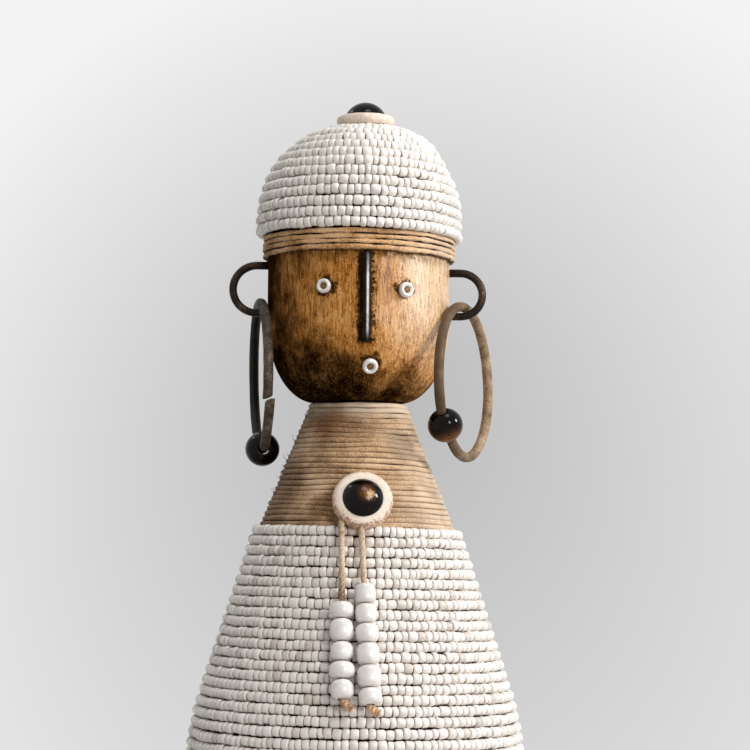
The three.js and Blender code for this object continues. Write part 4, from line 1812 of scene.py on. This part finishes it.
@dataclass
class Studio:
    """The camera, the light and the pale floor.

    Attributes:
        focal: Focal length in pixels of the photograph.
        frame: Width of the photograph in pixels.
        distance: How far in front of the doll's axis the camera is.
        aside: How far it is towards +X.
        tilt: How far it looks up.
        roll: How far it is turned about its view.
        ambient: Strength of the light from all round.
    """

    focal: float = 2400.0
    frame: float = 750.0
    distance: float = 930 * MM
    height: float = 112.3 * MM
    aside: float = 6.6 * MM
    tilt: float = math.radians(4.41)
    roll: float = math.radians(0.43)
    floor_radius: float = 420 * MM
    ambient: float = 0.255
    lamps: tuple[Lamp, ...] = (
        Lamp("key", (1.1, -0.22, 0.66), 0.17, 0.28, 11.3),
        Lamp("fill", (0.5, -0.95, 0.5), 0.17, 0.3, 4.1),
        Lamp("top", (0.2, -0.5, 1.3), 0.2, 0.5, 4.7),
        Lamp("rim", (-0.7, 0.36, 0.98), 0.15, 0.16, 0.6),
    )

    def build(self) -> None:
        """Sets up the whole studio."""
        self.place_camera()
        self.lay_floor()
        self.light_world()
        for lamp in self.lamps:
            lamp.hang()

    def place_camera(self) -> None:
        """Puts the camera where the photograph was taken from."""
        data = bpy.data.cameras.new("camera")
        data.sensor_width = 36.0
        data.lens = self.focal / self.frame * data.sensor_width
        data.clip_start, data.clip_end = 0.05, 20.0
        camera = put("camera", data)
        turn = Matrix.Rotation(QUARTER + self.tilt, 4, "X") @ Matrix.Rotation(self.roll, 4, "Z")
        camera.matrix_world = Matrix.Translation((self.aside, -self.distance, self.height)) @ turn
        bpy.context.scene.camera = camera

    def lay_floor(self) -> None:
        """Lays a round pale floor that fades into the background."""
        bm = bmesh.new()
        bmesh.ops.create_circle(bm, cap_ends=True, segments=96, radius=self.floor_radius)
        mesh = as_mesh("floor", bm)
        shader = Shader("pale_floor")
        shader.finish(base_color="#dfdfe0", roughness=0.9)
        reach = shader.apart(shader.place, ORIGIN)
        fade = shader.span(reach, 0.45 * self.floor_radius, 0.97 * self.floor_radius)
        clear = shader.add("ShaderNodeBsdfTransparent", {}).outputs[0]
        both = shader.add("ShaderNodeMixShader", {0: fade, 1: shader.surface.outputs[0], 2: clear})
        shader.feed(shader.tree.nodes["Material Output"].inputs["Surface"], both.outputs[0])
        mesh.materials.append(shader.material)
        put("floor", mesh)

    def light_world(self) -> None:
        """Gives soft light from all round, and a grey background that pales away from the figure."""
        world = bpy.data.worlds.new("studio")
        bpy.context.scene.world = world
        world.use_nodes = True
        nodes = Nodes(world.node_tree)
        light = nodes.tree.nodes["Background"]
        nodes.feed(light.inputs["Color"], "#f8f6f3")
        nodes.feed(light.inputs["Strength"], self.ambient)
        seen = nodes.add("ShaderNodeBackground", {"Color": "#ffffff", "Strength": self.backdrop(nodes)})
        rays = nodes.add("ShaderNodeLightPath", {}).outputs
        plain = nodes.most(*(rays[f"Is {kind} Ray"] for kind in ("Camera", "Glossy", "Transmission")))
        both = nodes.add("ShaderNodeMixShader", {0: plain, 1: light.outputs[0], 2: seen.outputs[0]})
        nodes.feed(nodes.tree.nodes["World Output"].inputs["Surface"], both.outputs[0])

    def backdrop(self, nodes: Nodes) -> Level:
        """The background's grey, palest upwards and away from the figure.

        Args:
            nodes: The world's nodes.

        Returns:
            Its strength.
        """
        way = nodes.add("ShaderNodeTexCoord", {}).outputs["Generated"]
        apart = nodes.apart(way, (0.0, math.cos(self.tilt), math.sin(self.tilt)))
        across, _, up = nodes.split(way)
        value = apart * 1.7 + up * 0.64 - across * 0.16 + 0.435
        return nodes.most(nodes.sums("MINIMUM", value, 0.9), 0.5)


def build_pendants(twine: Finish, glass: Finish, tied: Finish) -> None:
    """Hangs both pendants from the chest ring.

    Args:
        twine: The cords' finish.
        glass: The beads' finish.
        tied: The knots' finish.
    """
    left = [(9.2, 6.2, 3.0), (8.8, 8.3, 3.3), (8.5, 7.1, 2.8), (9.6, 6.4, 2.7), (8.6, 7.3, 2.8)]
    right = [(7.8, 7.3, 4.2), (7.9, 7.3, 3.3), (8.6, 7.1, 3.2), (8.5, 8.1, 3.5), (8.9, 8.1, 3.6), (8.6, 6.3, 2.9)]
    for side, length, sizes, lean, rise, shift in (
        (Side.LEFT, 69.1 * MM, left, 1.7, 0.0, -0.3 * MM),
        (Side.RIGHT, 68.4 * MM, right, 2.0, 0.6 * MM, 0.15 * MM),
    ):
        beads = [StrungBead(width * MM, long * MM, square) for width, long, square in sizes]
        Pendant(side, length, beads, lean, rise, shift).build(twine, glass, tied)


def carve_figure(carving: Carving) -> None:
    """Carves the figure, stained round the features that are set in it.

    Args:
        carving: The figure.
    """
    spots = [middle(f"{name}_bead") for name in ("left_eye", "right_eye", "mouth")]
    low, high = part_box("nose_pin")
    wood = StainedWood(
        "stained_wood",
        spots=tuple(tuple(spot) for spot in spots),
        nose=tuple(middle("nose_pin")),
        nose_half=(high.z - low.z) / 2,
        brow=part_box("brow_band")[0].z,
        chin=carving.chin,
    )
    carving.build(wood, spots)


def build_face(glass: Finish) -> None:
    """Sets the nose, the eyes and the mouth in the figure.

    Args:
        glass: The beads' finish.
    """
    low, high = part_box("nose_pin")
    # The nose's stripe of painted highlight.
    painted_highlight_stripe = (middle("nose_pin").x + 0.55 * MM, low.z, high.z)
    iron = ForgedIron("nose_iron", "#0b0908", "#14110f", "#2b2724", 0.42, 0.05, gloss=0.07, painted_highlight_stripe=painted_highlight_stripe)
    Face().build(iron, glass, PegWood("peg_wood"))


def build_ears(head_radius: float) -> None:
    """Hangs both hoops, with their dark beads.

    Args:
        head_radius: Radius of the head.
    """
    loop = ForgedIron("black_iron", "#0e0805", "#22170e", "#6f5841", rough=0.46, metal=0.35)
    left = Ear(Side.LEFT, head_radius, 28.4 * MM, math.radians(68), 0.0, 8.5)
    right = Ear(Side.RIGHT, head_radius, 29.3 * MM, math.radians(52), math.radians(52), 21.0)
    # The left hoop's darker tones are painted shade and the right hoop's paler ones painted light.
    for ear, shift, reach, lit_and_shaded_colours in (
        (left, (0.5, 6.0, -1.5), 3.0 * MM, ("#100a05", "#54463a", "#948470")),
        (right, (2.0, -1.5, -7.0), 8.4 * MM, ("#4e3b28", "#9a8064", "#d4c0a6")),
    ):
        low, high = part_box(ear.side.node("hoop"))
        # Where each hoop's painted shade starts and ends.
        shade = (low.x + 5 * MM, high.x - 2 * MM)
        hoop = ForgedIron(f"brown_iron_{ear.side.value}", *lit_and_shaded_colours, rough=0.56, metal=0.15, shade=shade)
        patch = middle(ear.side.node("hoop_bead")) + Vector(shift) * MM
        horn = PolishedHorn(f"dark_bead_{ear.side.value}", tuple(patch), 0.35 * reach, reach)
        ear.build(loop, hoop, horn)


def build_ornaments() -> None:
    """Sets the crown and chest ornaments."""
    lean, turn = math.radians(22), math.radians(3.5)
    chest = Ornament("chest", polar(math.cos(lean), turn, math.sin(lean)))
    patch = middle("chest_button") + chest.axis * (3.0 * MM) + Vector((1.2, 0.0, 0.5)) * MM
    # Where the chest button's painted highlight sits.
    painted_highlight_spot = patch + Vector((1.2, 0.0, -0.8)) * MM
    chest.build(PolishedHorn("chest_horn", tuple(patch), 0.8 * MM, 4.6 * MM, tuple(painted_highlight_spot), 0.15, 0.11))
    sizes = {"drop": 0.3 * MM, "thickness": 4.3 * MM, "button_half": 8.0 * MM, "button_rise": 5.4 * MM}
    edge = middle("crown_button") + Vector((5.0, -5.5, -2.0)) * MM
    horn = PolishedHorn("crown_horn", tuple(edge), 0.1 * MM, 1.2 * MM)
    Ornament("crown", UP, specks=0.25, **sizes).build(horn)


def write_sizes() -> None:
    """Brings the view layer up to date."""
    bpy.context.view_layer.update()


def main() -> None:
    """Builds the studio and then the doll, from the cords to the bead work."""
    logging.basicConfig(level=logging.INFO, format="%(message)s")
    bpy.context.scene.view_settings.view_transform = "Standard"
    Studio().build()
    spin = {"strands": 220.0, "slant": 3000.0, "ply": 0.1}
    cord = Twine("cord_fibre", "#6f5238", "#c4a688", "#f0e0cc", **spin)
    tied = Twine("knot_fibre", "#7e5430", "#d0a47c", "#f2dcc4", **spin)
    glass = PolishedGlass("pendant_glass")
    build_pendants(cord, glass, tied)
    carving = Carving()
    carve_figure(carving)
    stain = tuple(polar(20.0 * MM, -0.48, 164.5 * MM))
    # Both twines have painted light on the +X side and painted shade between their turns; the neck's also has
    # painted light towards its top and painted shade on its -X side.
    twine = Twine("neck_fibre", painted_light=0.5, painted_shade=0.5, painted_slit_shade=0.22, painted_light_above=165.0 * MM, stain=stain)
    band = Twine("brow_fibre", "#8f5a26", "#f2c088", "#fae2c2", ply=0.02, painted_light=0.55, painted_slit_shade=0.95)
    Bindings(carving).build(twine, band)
    build_face(glass)
    build_ears(carving.head_radius)
    build_ornaments()
    BeadWork(carving).build(SeedGlass("seed_glass", tuple(polar(45 * MM, 0.0, 121.5 * MM))))
    write_sizes()


if __name__ == "__main__":
    main()
